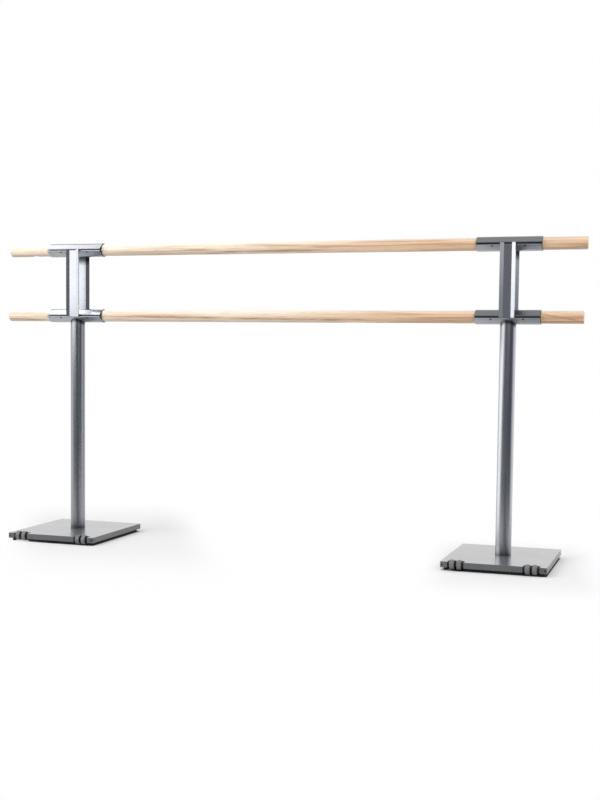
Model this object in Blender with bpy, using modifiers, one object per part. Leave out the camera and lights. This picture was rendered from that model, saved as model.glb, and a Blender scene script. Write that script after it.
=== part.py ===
"""Double ballet barre: two round wooden bars clamped to two free-standing metal stands.

Metres, Z up. X runs along the bars and the front of the barre faces -Y.
The origin is on the floor, under the middle of the overall box.
"""

import math

import bmesh
import bpy
from mathutils import Euler, Matrix

# Gap left between pieces that touch on the real barre
SEAT_GAP = 0.0003

# Wooden bars
BAR_DIAMETER = 0.040
BAR_LENGTH = 2.000
BAR_END_ROUND = 0.0015
UPPER_BAR_HEIGHT = 1.000
LOWER_BAR_HEIGHT = 0.7735
UPPER_BAR_SLIDE = 0.0035
LOWER_BAR_SLIDE = -0.0035

# Where the stands are gripped along the bars
STAND_SPACING = 1.503
STAND_SLIDE = 0.0125

# Base plate, with the column nearer to its rear edge
PLATE_WIDTH = 0.322
PLATE_DEPTH = 0.366
PLATE_THICKNESS = 0.0184
PLATE_CORNER_ROUND = 0.0025
PLATE_EDGE_BREAK = 0.0006
COLUMN_TO_REAR_EDGE = 0.172

# Rubber pad glued under the plate
PAD_THICKNESS = 0.009
PAD_INSET = 0.008
PAD_CORNER_ROUND = 0.009
PAD_NOTCH_MARGIN = 0.002

# Transport rollers, in two pairs let into the front edge of the plate
ROLLER_DIAMETER = 0.031
ROLLER_WIDTH = 0.016
ROLLER_SPACE = 0.0059
ROLLER_HUB_DIAMETER = 0.0145
ROLLER_SHOULDER_ROUND = 0.003
ROLLER_CROWN = 0.0005
ROLLER_PAIR_TO_PLATE_SIDE = 0.047
AXLE_DIAMETER = 0.008
AXLE_SETBACK = 0.010
AXLE_BEYOND_NOTCH = 0.015
AXLE_END_BREAK = 0.0005
NOTCH_CLEARANCE = 0.0015
NOTCH_CORNER_ROUND = 0.003
AXLE_SCREW_DIAMETER = 0.004
AXLE_SCREW_TO_PLATE_SIDE = 0.0045
AXLE_SCREW_SUNK = 0.0006
AXLE_SCREW_KEY = 0.002
AXLE_SCREW_KEY_DEPTH = 0.002

# Column tube, its foot plug and the bolt through the plate
COLUMN_DIAMETER = 0.050
COLUMN_WALL = 0.003
PLUG_HEIGHT = 0.036
BOLT_DIAMETER = 0.012
BOLT_HEAD_DIAMETER = 0.018
BOLT_HEAD_HEIGHT = 0.007
BOLT_HEAD_SUNK = 0.0012
BOLT_BELOW_PLUG_TOP = 0.006
BOLT_KEY = 0.008
BOLT_KEY_DEPTH = 0.0045

# Clamp, an extruded sleeve split at the height of the bar
CLAMP_LENGTH = 0.203
CLAMP_WALL = 0.0027
CLAMP_REACH = 0.033
CLAMP_NOSE_HEIGHT = 0.009
CLAMP_NOSE_ROUND = 0.0008
CLAMP_SLOT = 0.003
DRILL_GROOVE_WIDTH = 0.0016
DRILL_GROOVE_DEPTH = 0.0006

# Clamp screws, put in from below along the noses
SCREW_SPACING = 0.101
SCREW_TO_NOSE = 0.0045
SCREW_DIAMETER = 0.003
SCREW_HEAD_DIAMETER = 0.0055
SCREW_HEAD_HEIGHT = 0.0024
SCREW_SEAT_COVER = 0.0017
SCREW_SKIN = 0.0015
SCREW_TIP_SPACE = 0.0005
SCREW_KEY = 0.0025
SCREW_KEY_DEPTH = 0.0013

# Posts between the two clamps, shallow channels with flared flanges
POST_WIDTH = 0.050
POST_WEB_WIDTH = 0.0246
POST_THICKNESS = 0.0035
POST_FLARE = math.radians(20)
POST_BELOW_LOWER_BAR = 0.0025
POST_WEB_BELOW_UPPER_BAR = 0.002
POST_HORN = 0.0045
POST_HORN_ROUND = 0.003
POST_EDGE_BREAK = 0.0004

# Facets round a full turn
BAR_FACETS = 48
COLUMN_FACETS = 40
BORE_FACETS = 40
ROLLER_FACETS = 18
BOLT_FACETS = 16
SCREW_FACETS = 12

# Sizes that follow from those above
BAR_RADIUS = BAR_DIAMETER / 2
BORE_RADIUS = BAR_RADIUS + SEAT_GAP
CLAMP_RADIUS = BORE_RADIUS + CLAMP_WALL
SLOT_HALF = CLAMP_SLOT / 2
SCREW_OFFSET = CLAMP_REACH - SCREW_TO_NOSE
PLATE_BOTTOM = PAD_THICKNESS
PLATE_TOP = PLATE_BOTTOM + PLATE_THICKNESS
PLATE_MIDDLE = PLATE_BOTTOM + PLATE_THICKNESS / 2
PLATE_FRONT = COLUMN_TO_REAR_EDGE - PLATE_DEPTH
PLATE_REAR = COLUMN_TO_REAR_EDGE
AXLE_LINE = PLATE_FRONT + AXLE_SETBACK
ROLLER_RADIUS = ROLLER_DIAMETER / 2
ROLLER_PAIR_CENTRE = PLATE_WIDTH / 2 - ROLLER_PAIR_TO_PLATE_SIDE
ROLLER_OFFSET = (ROLLER_WIDTH + ROLLER_SPACE) / 2
NOTCH_HALF_WIDTH = ROLLER_WIDTH + 1.5 * ROLLER_SPACE
NOTCH_REAR = AXLE_LINE + ROLLER_RADIUS + NOTCH_CLEARANCE
COLUMN_LINE = -(AXLE_LINE - ROLLER_RADIUS + PLATE_REAR) / 2

# Turns an outline drawn in X and Y, and its thickness, to the direction named
THICK_ALONG_X = Euler((math.pi / 2, 0, math.pi / 2)).to_matrix().to_4x4()
THICK_ALONG_Y = Euler((math.pi / 2, 0, 0)).to_matrix().to_4x4()
THICK_ALONG_Z = Matrix.Identity(4)

# Turns a piece made round Z
AXIS_TO_X = Euler((0, math.pi / 2, 0)).to_matrix().to_4x4()
AXIS_TO_FRONT = Euler((math.pi / 2, 0, 0)).to_matrix().to_4x4()


def clear_scene():
    for obj in list(bpy.data.objects):
        bpy.data.objects.remove(obj, do_unlink=True)
    for collection in list(bpy.data.collections):
        bpy.data.collections.remove(collection)


def new_collection(name):
    collection = bpy.data.collections.new(name)
    bpy.context.scene.collection.children.link(collection)
    return collection


def new_material(name, colour, roughness, metallic):
    material = bpy.data.materials.new(name)
    material.use_nodes = True
    shader = material.node_tree.nodes["Principled BSDF"]
    shader.inputs["Base Color"].default_value = (*colour, 1)
    shader.inputs["Roughness"].default_value = roughness
    shader.inputs["Metallic"].default_value = metallic
    material.diffuse_color = (*colour, 1)
    return material


def smoothed(mesh):
    """The mesh shaded smooth, except across its real edges."""
    mesh.shade_smooth()
    mesh.set_sharp_from_angle(angle=math.radians(30))
    return mesh


def taken_from(obj):
    """The mesh that an object's modifiers give. The object itself is removed."""
    graph = bpy.context.evaluated_depsgraph_get()
    mesh = bpy.data.meshes.new_from_object(obj.evaluated_get(graph), depsgraph=graph)
    bpy.data.objects.remove(obj, do_unlink=True)
    work = bmesh.new()
    work.from_mesh(mesh)
    bmesh.ops.remove_doubles(work, verts=work.verts, dist=1e-6)
    work.to_mesh(mesh)
    work.free()
    return smoothed(mesh)


def on_bench(name, mesh):
    """An object for a mesh, in the scene for as long as it is worked on."""
    obj = bpy.data.objects.new(name, mesh)
    bpy.context.scene.collection.objects.link(obj)
    return obj


def outline_mesh(name, outline, thickness, turn):
    """A flat outline made solid about its middle plane, then turned."""
    mesh = bpy.data.meshes.new(name)
    work = bmesh.new()
    face = work.faces.new([work.verts.new((x, y, -thickness / 2)) for x, y in outline])
    pushed = bmesh.ops.extrude_face_region(work, geom=[face])
    lifted = [item for item in pushed["geom"] if isinstance(item, bmesh.types.BMVert)]
    bmesh.ops.translate(work, verts=lifted, vec=(0, 0, thickness))
    bmesh.ops.recalc_face_normals(work, faces=work.faces)
    ends = [side for side in work.faces if len(side.verts) > 4]
    bmesh.ops.triangulate(work, faces=ends, ngon_method="BEAUTY")
    work.to_mesh(mesh)
    work.free()
    mesh.transform(turn)
    return smoothed(mesh)


def turned_mesh(name, profile, facets, closed=False):
    """A turned piece round Z. The profile of (radius, height) runs down its outer side."""
    mesh = bpy.data.meshes.new(name)
    edges = [(i, i + 1) for i in range(len(profile) - 1)]
    if closed:
        edges.append((len(profile) - 1, 0))
    mesh.from_pydata([(radius, 0, height) for radius, height in profile], edges, [])
    obj = on_bench(name, mesh)
    screw = obj.modifiers.new("turn", "SCREW")
    screw.axis = "Z"
    screw.angle = 2 * math.pi
    screw.steps = facets
    screw.render_steps = facets
    screw.use_merge_vertices = True
    screw.merge_threshold = 1e-5
    return taken_from(obj)


def rod_mesh(name, radius, length, facets):
    """A plain rod round Z, about its middle."""
    mesh = bpy.data.meshes.new(name)
    work = bmesh.new()
    bmesh.ops.create_cone(
        work, cap_ends=True, segments=facets, radius1=radius, radius2=radius, depth=length
    )
    work.to_mesh(mesh)
    work.free()
    return mesh


def with_edges_broken(name, mesh, width, sharper_than=50):
    """The mesh with its edges sharper than an angle in degrees chamfered."""
    obj = on_bench(name, mesh)
    bevel = obj.modifiers.new("edges", "BEVEL")
    bevel.width = width
    bevel.limit_method = "ANGLE"
    bevel.angle_limit = math.radians(sharper_than)
    return taken_from(obj)


def with_cutters(name, mesh, cutters, operation="DIFFERENCE"):
    """The mesh after a Boolean with each cutter in turn."""
    obj = on_bench(name, mesh)
    for cutter in cutters:
        boolean = obj.modifiers.new(cutter.name, "BOOLEAN")
        boolean.object = cutter
        boolean.operation = operation
        boolean.solver = "EXACT"
    bpy.context.view_layer.update()
    return taken_from(obj)


def new_cutter(name, mesh, place=(0, 0, 0)):
    obj = bpy.data.objects.new(name, mesh)
    obj.location = place
    obj.hide_render = True
    obj.display_type = "WIRE"
    cutters.objects.link(obj)
    return obj


def new_piece(name, mesh, material, parent, place=(0, 0, 0), turn=(0, 0, 0)):
    obj = bpy.data.objects.new(name, mesh)
    obj.location = place
    obj.rotation_euler = turn
    obj.parent = parent
    if not mesh.materials:
        mesh.materials.append(material)
    parts.objects.link(obj)
    return obj


def new_empty(name, place):
    obj = bpy.data.objects.new(name, None)
    obj.location = place
    obj.empty_display_size = 0.05
    parts.objects.link(obj)
    return obj


def arc(centre, radius, start, end, steps):
    """Points on an arc between two angles in radians, both ends included."""
    angles = [start + (end - start) * i / steps for i in range(steps + 1)]
    return [(centre[0] + radius * math.cos(a), centre[1] + radius * math.sin(a)) for a in angles]


def corner(x, y, radius, start, steps=2):
    """A quarter turn at a corner of an outline, beginning at an angle in quarter turns."""
    quarter = math.pi / 2
    middle = (start + 0.5) * quarter
    centre_x = x - math.copysign(radius, math.cos(middle))
    centre_y = y - math.copysign(radius, math.sin(middle))
    return arc((centre_x, centre_y), radius, start * quarter, (start + 1) * quarter, steps)


def inner_corner(x, y, radius, start, steps=1):
    """A quarter turn at a corner that the outline turns round the other way."""
    quarter = math.pi / 2
    middle = (start - 0.5) * quarter
    centre_x = x - math.copysign(radius, math.cos(middle))
    centre_y = y - math.copysign(radius, math.sin(middle))
    return arc((centre_x, centre_y), radius, start * quarter, (start - 1) * quarter, steps)


def base_outline(half_width, front, rear, corner_round, notch_margin):
    """The plate or pad seen from above, with a notch in the front edge for each roller pair."""
    half_notch = NOTCH_HALF_WIDTH + notch_margin
    notch_rear = NOTCH_REAR + notch_margin
    points = corner(half_width, rear, corner_round, 0)
    points += corner(-half_width, rear, corner_round, 1)
    points += corner(-half_width, front, corner_round, 2)
    for centre in (-ROLLER_PAIR_CENTRE, ROLLER_PAIR_CENTRE):
        points.append((centre - half_notch, front))
        points += inner_corner(centre - half_notch, notch_rear, NOTCH_CORNER_ROUND, 2)
        points += inner_corner(centre + half_notch, notch_rear, NOTCH_CORNER_ROUND, 1)
        points.append((centre + half_notch, front))
    points += corner(half_width, front, corner_round, 3)
    return points


def flank_normal(radius, reach, nose_half):
    """The angle above Y of the normal of the flank that joins the round to the nose."""
    corner_distance = math.hypot(reach, nose_half)
    return math.atan2(nose_half, reach) + math.acos(radius / corner_distance)


FLANK = flank_normal(CLAMP_RADIUS, CLAMP_REACH, CLAMP_NOSE_HEIGHT / 2)


def flank_height(across, offset=0.0):
    """How far above the bar's axis the flank is, at a distance across from it."""
    return (CLAMP_RADIUS + offset - across * math.cos(FLANK)) / math.sin(FLANK)


def groove_points():
    """The drill line: a V along the flank, from the side of the nose inwards."""
    middle = (SCREW_OFFSET, flank_height(SCREW_OFFSET))
    normal = (math.cos(FLANK), math.sin(FLANK))
    half = DRILL_GROOVE_WIDTH / 2
    to_nose = (normal[1] * half, -normal[0] * half)
    return [
        (middle[0] + to_nose[0], middle[1] + to_nose[1]),
        (middle[0] - normal[0] * DRILL_GROOVE_DEPTH, middle[1] - normal[1] * DRILL_GROOVE_DEPTH),
        (middle[0] - to_nose[0], middle[1] - to_nose[1]),
    ]


def shell_outline(grooved):
    """The upper half of the sleeve, seen along the bar. The lower half is this one mirrored."""
    rounding = CLAMP_NOSE_ROUND
    centre = CLAMP_REACH - rounding
    upper_centre = (CLAMP_RADIUS - rounding - centre * math.cos(FLANK)) / math.sin(FLANK)
    side = arc((centre, SLOT_HALF + rounding), rounding, -math.pi / 2, 0, 2)
    side += arc((centre, upper_centre), rounding, 0, FLANK, 2)
    if grooved:
        side += groove_points()
    crown = arc((0, 0), CLAMP_RADIUS, FLANK, math.pi - FLANK, 12)
    bore_end = math.asin(SLOT_HALF / BORE_RADIUS)
    bore = arc((0, 0), BORE_RADIUS, math.pi - bore_end, bore_end, BORE_FACETS // 2)
    other_side = [(-x, y) for x, y in reversed(side)]
    return side + crown + other_side + bore


def stepped_cutter(name, narrow, wide, top, step, bottom):
    """A drilled hole with a wider mouth below."""
    profile = [(0, top), (narrow, top), (narrow, step), (wide, step), (wide, bottom), (0, bottom)]
    return turned_mesh(name, profile, SCREW_FACETS)


def screw_places():
    """Where the four screws of a clamp are, from the clamp's middle."""
    return [
        (x * SCREW_SPACING / 2, y * SCREW_OFFSET, 0) for x in (-1, 1) for y in (-1, 1)
    ]


def make_clamp_shells():
    """The lower shell, which the screws pass, and the upper one, which they thread into."""
    hole = SCREW_DIAMETER / 2 + SEAT_GAP
    counterbore = SCREW_HEAD_DIAMETER / 2 + SEAT_GAP
    seat = -SLOT_HALF - SCREW_SEAT_COVER
    through = stepped_cutter("clearance_hole", hole, counterbore, 0, seat, -CLAMP_RADIUS)
    thread_end = flank_height(SCREW_OFFSET) - SCREW_SKIN
    blind = rod_mesh("thread_hole", hole, 2 * thread_end, SCREW_FACETS)
    through_cutters = []
    blind_cutters = []
    for number, place in enumerate(screw_places(), 1):
        through_cutters.append(new_cutter(f"clearance_hole_{number}", through, place))
        blind_cutters.append(new_cutter(f"thread_hole_{number}", blind, place))
    upper_outline = shell_outline(grooved=False)
    lower_outline = [(x, -y) for x, y in shell_outline(grooved=True)]
    upper = outline_mesh("upper_shell", upper_outline, CLAMP_LENGTH, THICK_ALONG_X)
    lower = outline_mesh("lower_shell", lower_outline, CLAMP_LENGTH, THICK_ALONG_X)
    return (
        with_cutters("lower_shell", lower, through_cutters),
        with_cutters("upper_shell", upper, blind_cutters),
    )


def key_cutter(name, across_flats, depth, height):
    """A hexagon that leaves a socket of a given depth below a face at this height."""
    mesh = rod_mesh(name, across_flats / math.sqrt(3), 2 * depth, 6)
    return new_cutter(name, mesh, (0, 0, height))


def make_clamp_screw():
    """Head down. Its origin is on the bar's level, where the clamp is split."""
    head = SCREW_HEAD_DIAMETER / 2
    shank = SCREW_DIAMETER / 2
    seat = -SLOT_HALF - SCREW_SEAT_COVER - SEAT_GAP
    foot = seat - SCREW_HEAD_HEIGHT
    tip = flank_height(SCREW_OFFSET) - SCREW_SKIN - SCREW_TIP_SPACE
    profile = [(0, tip), (shank, tip), (shank, seat), (head, seat), (head, foot), (0, foot)]
    mesh = turned_mesh("clamp_screw", profile, SCREW_FACETS)
    return with_cutters(
        "clamp_screw", mesh, [key_cutter("clamp_screw_key", SCREW_KEY, SCREW_KEY_DEPTH, foot)]
    )


def make_column_bolt():
    """Head down, from inside the plate up into the foot plug. Its origin is on the floor."""
    head = BOLT_HEAD_DIAMETER / 2
    shank = BOLT_DIAMETER / 2
    foot = PLATE_BOTTOM + BOLT_HEAD_SUNK
    seat = foot + BOLT_HEAD_HEIGHT
    tip = PLATE_TOP + SEAT_GAP + PLUG_HEIGHT - BOLT_BELOW_PLUG_TOP
    profile = [(0, tip), (shank, tip), (shank, seat), (head, seat), (head, foot), (0, foot)]
    mesh = turned_mesh("column_bolt", profile, BOLT_FACETS)
    return with_cutters(
        "column_bolt", mesh, [key_cutter("column_bolt_key", BOLT_KEY, BOLT_KEY_DEPTH, foot)]
    )


def make_base_plate():
    """Its origin is under the column, at the middle of its thickness."""
    outline = base_outline(
        PLATE_WIDTH / 2, PLATE_FRONT, PLATE_REAR, PLATE_CORNER_ROUND, notch_margin=0
    )
    mesh = outline_mesh("base_plate", outline, PLATE_THICKNESS, THICK_ALONG_Z)
    mesh = with_edges_broken("base_plate", mesh, PLATE_EDGE_BREAK)
    bolt_seat = BOLT_HEAD_SUNK + BOLT_HEAD_HEIGHT + SEAT_GAP - PLATE_THICKNESS / 2
    bolt_profile = [
        (0, PLATE_THICKNESS),
        (BOLT_DIAMETER / 2 + SEAT_GAP, PLATE_THICKNESS),
        (BOLT_DIAMETER / 2 + SEAT_GAP, bolt_seat),
        (BOLT_HEAD_DIAMETER / 2 + SEAT_GAP, bolt_seat),
        (BOLT_HEAD_DIAMETER / 2 + SEAT_GAP, -PLATE_THICKNESS),
        (0, -PLATE_THICKNESS),
    ]
    bolt_hole = turned_mesh("bolt_hole", bolt_profile, BOLT_FACETS)
    holes = [new_cutter("bolt_hole", bolt_hole)]
    inner_end = ROLLER_PAIR_CENTRE - NOTCH_HALF_WIDTH - AXLE_BEYOND_NOTCH - SEAT_GAP
    length = PLATE_WIDTH - 2 * inner_end
    axle_hole = rod_mesh("axle_hole", AXLE_DIAMETER / 2 + SEAT_GAP, length, BOLT_FACETS)
    axle_hole.transform(AXIS_TO_X)
    screw_hole = rod_mesh(
        "axle_screw_hole", AXLE_SCREW_DIAMETER / 2 + SEAT_GAP, 2 * AXLE_SETBACK, SCREW_FACETS
    )
    screw_hole.transform(AXIS_TO_FRONT)
    for side, name in ((-1, "left"), (1, "right")):
        axle_place = (side * PLATE_WIDTH / 2, AXLE_LINE, 0)
        screw_place = (side * (PLATE_WIDTH / 2 - AXLE_SCREW_TO_PLATE_SIDE), PLATE_FRONT, 0)
        holes.append(new_cutter(f"{name}_axle_hole", axle_hole, axle_place))
        holes.append(new_cutter(f"{name}_axle_screw_hole", screw_hole, screw_place))
    return with_cutters("base_plate", mesh, holes)


def make_base_pad():
    """The rubber under the plate, open round the rollers. Its origin is on the floor."""
    outline = base_outline(
        PLATE_WIDTH / 2 - PAD_INSET,
        PLATE_FRONT + PAD_INSET,
        PLATE_REAR - PAD_INSET,
        PAD_CORNER_ROUND,
        PAD_NOTCH_MARGIN,
    )
    mesh = outline_mesh("base_pad", outline, PAD_THICKNESS - SEAT_GAP, THICK_ALONG_Z)
    mesh.transform(Matrix.Translation((0, 0, (PAD_THICKNESS - SEAT_GAP) / 2)))
    return mesh


def make_column():
    """The tube from the plate up, coped to the underside of the lower clamp."""
    foot = PLATE_TOP + SEAT_GAP
    top = LOWER_BAR_HEIGHT - CLAMP_NOSE_HEIGHT / 2
    outer = COLUMN_DIAMETER / 2
    inner = outer - COLUMN_WALL
    profile = [(outer, top), (outer, foot), (inner, foot), (inner, top)]
    mesh = turned_mesh("column", profile, COLUMN_FACETS, closed=True)
    across = CLAMP_REACH + SEAT_GAP
    low_corner = -flank_height(across, SEAT_GAP)
    cope = [(across, CLAMP_RADIUS), (across, low_corner)]
    cope += arc((0, 0), CLAMP_RADIUS + SEAT_GAP, -FLANK, FLANK - math.pi, 12)
    cope += [(-across, low_corner), (-across, CLAMP_RADIUS)]
    cope_mesh = outline_mesh("cope", cope, 2 * COLUMN_DIAMETER, THICK_ALONG_X)
    cutter = new_cutter("column_cope", cope_mesh, (0, 0, LOWER_BAR_HEIGHT))
    return with_cutters("column", mesh, [cutter])


def make_column_plug():
    """The threaded foot plug inside the tube. Its origin is at its middle."""
    outer = COLUMN_DIAMETER / 2 - COLUMN_WALL - SEAT_GAP
    inner = BOLT_DIAMETER / 2 + SEAT_GAP
    half = PLUG_HEIGHT / 2
    profile = [(outer, half), (outer, -half), (inner, -half), (inner, half)]
    return turned_mesh("column_plug", profile, COLUMN_FACETS, closed=True)


def post_section():
    """The front post seen from above: a web against the noses and two flanges flared forwards."""
    sine = math.sin(POST_FLARE)
    cosine = math.cos(POST_FLARE)
    back = -(CLAMP_REACH + SEAT_GAP)
    face = back - POST_THICKNESS
    bend = POST_WEB_WIDTH / 2
    tip_back = POST_WIDTH / 2
    tip_face = tip_back - POST_THICKNESS * sine
    tip_face_y = face - (tip_face - bend) * sine / cosine
    half = [
        (bend, face),
        (tip_face, tip_face_y),
        (tip_back, tip_face_y + POST_THICKNESS * cosine),
        (bend + POST_THICKNESS * math.tan(POST_FLARE / 2), back),
    ]
    return half + [(-x, y) for x, y in reversed(half)]


def post_front_view(bottom, web_top):
    """The post seen from the front: square below, two rounded horns beside the web above."""
    half = POST_WIDTH / 2
    bend = POST_WEB_WIDTH / 2
    horn_top = web_top + POST_HORN
    points = [(-half, bottom), (half, bottom)]
    points += corner(half, horn_top, POST_HORN_ROUND, 0)
    points += [(bend, horn_top), (bend, web_top), (-bend, web_top), (-bend, horn_top)]
    points += corner(-half, horn_top, POST_HORN_ROUND, 1)
    return points


def make_post():
    """The front post. The rear one is the same piece turned round. Its origin is on the floor."""
    bottom = LOWER_BAR_HEIGHT - POST_BELOW_LOWER_BAR
    web_top = UPPER_BAR_HEIGHT - POST_WEB_BELOW_UPPER_BAR
    length = 2 * (web_top - bottom)
    mesh = outline_mesh("post", post_section(), length, THICK_ALONG_Z)
    mesh.transform(Matrix.Translation((0, 0, (bottom + web_top) / 2)))
    front_view = post_front_view(bottom, web_top)
    blank = outline_mesh("post_blank", front_view, 4 * CLAMP_REACH, THICK_ALONG_Y)
    mesh = with_cutters("post", mesh, [new_cutter("post_blank", blank)], "INTERSECT")
    return with_edges_broken("post", mesh, POST_EDGE_BREAK)


def make_roller():
    """A roller round Z with a long hub above and a short one below, turned about its tread."""
    half = ROLLER_WIDTH / 2
    rim = ROLLER_RADIUS
    shoulder = ROLLER_SHOULDER_ROUND
    bore = AXLE_DIAMETER / 2 + SEAT_GAP
    hub = ROLLER_HUB_DIAMETER / 2
    long_end = half + ROLLER_SPACE - SEAT_GAP
    short_end = -half - (ROLLER_SPACE - SEAT_GAP) / 2
    edge = rim - ROLLER_CROWN
    upper = arc((edge - shoulder, half - shoulder), shoulder, math.pi / 2, 0, 2)
    lower = [(radius, -height) for radius, height in reversed(upper)]
    profile = [(bore, long_end), (hub, long_end), (hub, half)]
    profile += upper + [(rim, 0)] + lower
    profile += [(hub, -half), (hub, short_end), (bore, short_end)]
    return turned_mesh("roller", profile, ROLLER_FACETS, closed=True)


def axle_ends():
    """How far from the plate's middle a right-hand axle starts and ends."""
    inner = ROLLER_PAIR_CENTRE - NOTCH_HALF_WIDTH - AXLE_BEYOND_NOTCH
    return inner, PLATE_WIDTH / 2


def make_axle():
    inner, outer = axle_ends()
    mesh = rod_mesh("axle", AXLE_DIAMETER / 2, outer - inner, BOLT_FACETS)
    mesh = with_edges_broken("axle", mesh, AXLE_END_BREAK)
    mesh.transform(AXIS_TO_X)
    return mesh


def make_axle_screw():
    """A headless screw, key end forwards. Its origin is on the plate's front edge."""
    front = -AXLE_SCREW_SUNK
    rear = -(AXLE_SETBACK - AXLE_DIAMETER / 2 - SEAT_GAP)
    radius = AXLE_SCREW_DIAMETER / 2
    profile = [(0, front), (radius, front), (radius, rear), (0, rear)]
    mesh = turned_mesh("axle_screw", profile, SCREW_FACETS)
    key = key_cutter("axle_screw_key", AXLE_SCREW_KEY, AXLE_SCREW_KEY_DEPTH, front)
    mesh = with_cutters("axle_screw", mesh, [key])
    mesh.transform(AXIS_TO_FRONT)
    return mesh


def make_bar():
    mesh = rod_mesh("bar", BAR_RADIUS, BAR_LENGTH, BAR_FACETS)
    mesh = with_edges_broken("bar", mesh, BAR_END_ROUND)
    mesh.transform(AXIS_TO_X)
    return mesh


def add_rollers(stand, stand_name, meshes):
    """Two pairs of rollers, each pair on its own axle held by a headless screw."""
    inner, outer = axle_ends()
    for side, side_name in ((-1, "left"), (1, "right")):
        prefix = f"{stand_name}_{side_name}"
        axle_place = (side * (inner + outer) / 2, AXLE_LINE, PLATE_MIDDLE)
        screw_x = side * (outer - AXLE_SCREW_TO_PLATE_SIDE)
        new_piece(f"{prefix}_axle", meshes["axle"], steel, stand, axle_place)
        new_piece(
            f"{prefix}_axle_screw",
            meshes["axle_screw"],
            black_steel,
            stand,
            (screw_x, PLATE_FRONT, PLATE_MIDDLE),
        )
        for half, half_name in ((-1, "left"), (1, "right")):
            place = (side * ROLLER_PAIR_CENTRE + half * ROLLER_OFFSET, AXLE_LINE, PLATE_MIDDLE)
            new_piece(
                f"{prefix}_roller_{half_name}",
                meshes["roller"],
                roller_plastic,
                stand,
                place,
                (0, half * math.pi / 2, 0),
            )


def add_clamp(stand, prefix, height, meshes):
    """Both shells of a clamp and its four screws."""
    new_piece(f"{prefix}_saddle", meshes["lower_shell"], clamp_metal, stand, (0, 0, height))
    new_piece(f"{prefix}_cap", meshes["upper_shell"], clamp_metal, stand, (0, 0, height))
    for number, (x, y, z) in enumerate(screw_places(), 1):
        place = (x, y, height + z)
        name = f"{prefix}_screw_{number}"
        new_piece(name, meshes["clamp_screw"], black_steel, stand, place)


def add_stand(stand_name, place_x, meshes):
    stand = new_empty(f"{stand_name}_stand", (place_x, COLUMN_LINE, 0))
    middle = (0, 0, PLATE_MIDDLE)
    plug_middle = (0, 0, PLATE_TOP + SEAT_GAP + PLUG_HEIGHT / 2)
    new_piece(f"{stand_name}_base_plate", meshes["base_plate"], plate_metal, stand, middle)
    new_piece(f"{stand_name}_base_pad", meshes["base_pad"], rubber, stand)
    new_piece(f"{stand_name}_column", meshes["column"], column_metal, stand)
    new_piece(f"{stand_name}_column_plug", meshes["column_plug"], steel, stand, plug_middle)
    new_piece(f"{stand_name}_column_bolt", meshes["column_bolt"], steel, stand)
    new_piece(f"{stand_name}_front_post", meshes["post"], column_metal, stand)
    half_turn = (0, 0, math.pi)
    new_piece(f"{stand_name}_rear_post", meshes["post"], column_metal, stand, turn=half_turn)
    add_clamp(stand, f"{stand_name}_lower", LOWER_BAR_HEIGHT, meshes)
    add_clamp(stand, f"{stand_name}_upper", UPPER_BAR_HEIGHT, meshes)
    add_rollers(stand, stand_name, meshes)


clear_scene()
parts = new_collection("double_ballet_barre")
cutters = new_collection("cutters")

bar_wood = new_material("bar_wood", (0.66, 0.43, 0.27), 0.45, 0.0)
column_metal = new_material("column_metal", (0.42, 0.44, 0.47), 0.28, 1.0)
clamp_metal = new_material("clamp_metal", (0.46, 0.47, 0.49), 0.32, 1.0)
plate_metal = new_material("plate_metal", (0.45, 0.46, 0.48), 0.30, 1.0)
steel = new_material("steel", (0.55, 0.55, 0.56), 0.35, 1.0)
black_steel = new_material("black_steel", (0.03, 0.03, 0.03), 0.45, 1.0)
rubber = new_material("rubber", (0.02, 0.02, 0.02), 0.8, 0.0)
roller_plastic = new_material("roller_plastic", (0.27, 0.27, 0.28), 0.5, 0.0)

lower_shell, upper_shell = make_clamp_shells()
shared_meshes = {
    "lower_shell": lower_shell,
    "upper_shell": upper_shell,
    "clamp_screw": make_clamp_screw(),
    "base_plate": make_base_plate(),
    "base_pad": make_base_pad(),
    "column": make_column(),
    "column_plug": make_column_plug(),
    "column_bolt": make_column_bolt(),
    "post": make_post(),
    "roller": make_roller(),
    "axle": make_axle(),
    "axle_screw": make_axle_screw(),
}

bar_mesh = make_bar()
bar_places = (
    ("upper_bar", UPPER_BAR_SLIDE, UPPER_BAR_HEIGHT),
    ("lower_bar", LOWER_BAR_SLIDE, LOWER_BAR_HEIGHT),
)
for bar_name, slide, bar_height in bar_places:
    new_piece(bar_name, bar_mesh, bar_wood, None, (slide, COLUMN_LINE, bar_height))

add_stand("left", STAND_SLIDE - STAND_SPACING / 2, shared_meshes)
add_stand("right", STAND_SLIDE + STAND_SPACING / 2, shared_meshes)
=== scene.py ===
import math

import bmesh
import bpy
from mathutils import Matrix, Vector


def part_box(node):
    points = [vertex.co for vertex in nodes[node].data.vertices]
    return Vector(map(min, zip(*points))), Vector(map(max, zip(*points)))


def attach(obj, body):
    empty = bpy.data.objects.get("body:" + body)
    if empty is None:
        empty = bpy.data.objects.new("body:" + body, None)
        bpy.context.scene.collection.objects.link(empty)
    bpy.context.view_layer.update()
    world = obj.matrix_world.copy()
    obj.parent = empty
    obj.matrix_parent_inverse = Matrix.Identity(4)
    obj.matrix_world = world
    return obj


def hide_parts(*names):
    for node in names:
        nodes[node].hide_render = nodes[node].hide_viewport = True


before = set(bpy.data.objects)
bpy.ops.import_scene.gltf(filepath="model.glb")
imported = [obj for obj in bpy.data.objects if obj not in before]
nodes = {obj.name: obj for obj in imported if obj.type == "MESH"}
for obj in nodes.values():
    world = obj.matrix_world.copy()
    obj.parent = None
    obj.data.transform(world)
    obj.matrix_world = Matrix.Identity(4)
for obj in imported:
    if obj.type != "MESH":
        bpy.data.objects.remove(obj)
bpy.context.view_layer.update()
stands = sides = ("left", "right")
levels = ("upper", "lower")
halfTurn = math.pi
quarterTurn = math.pi / 2
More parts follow.
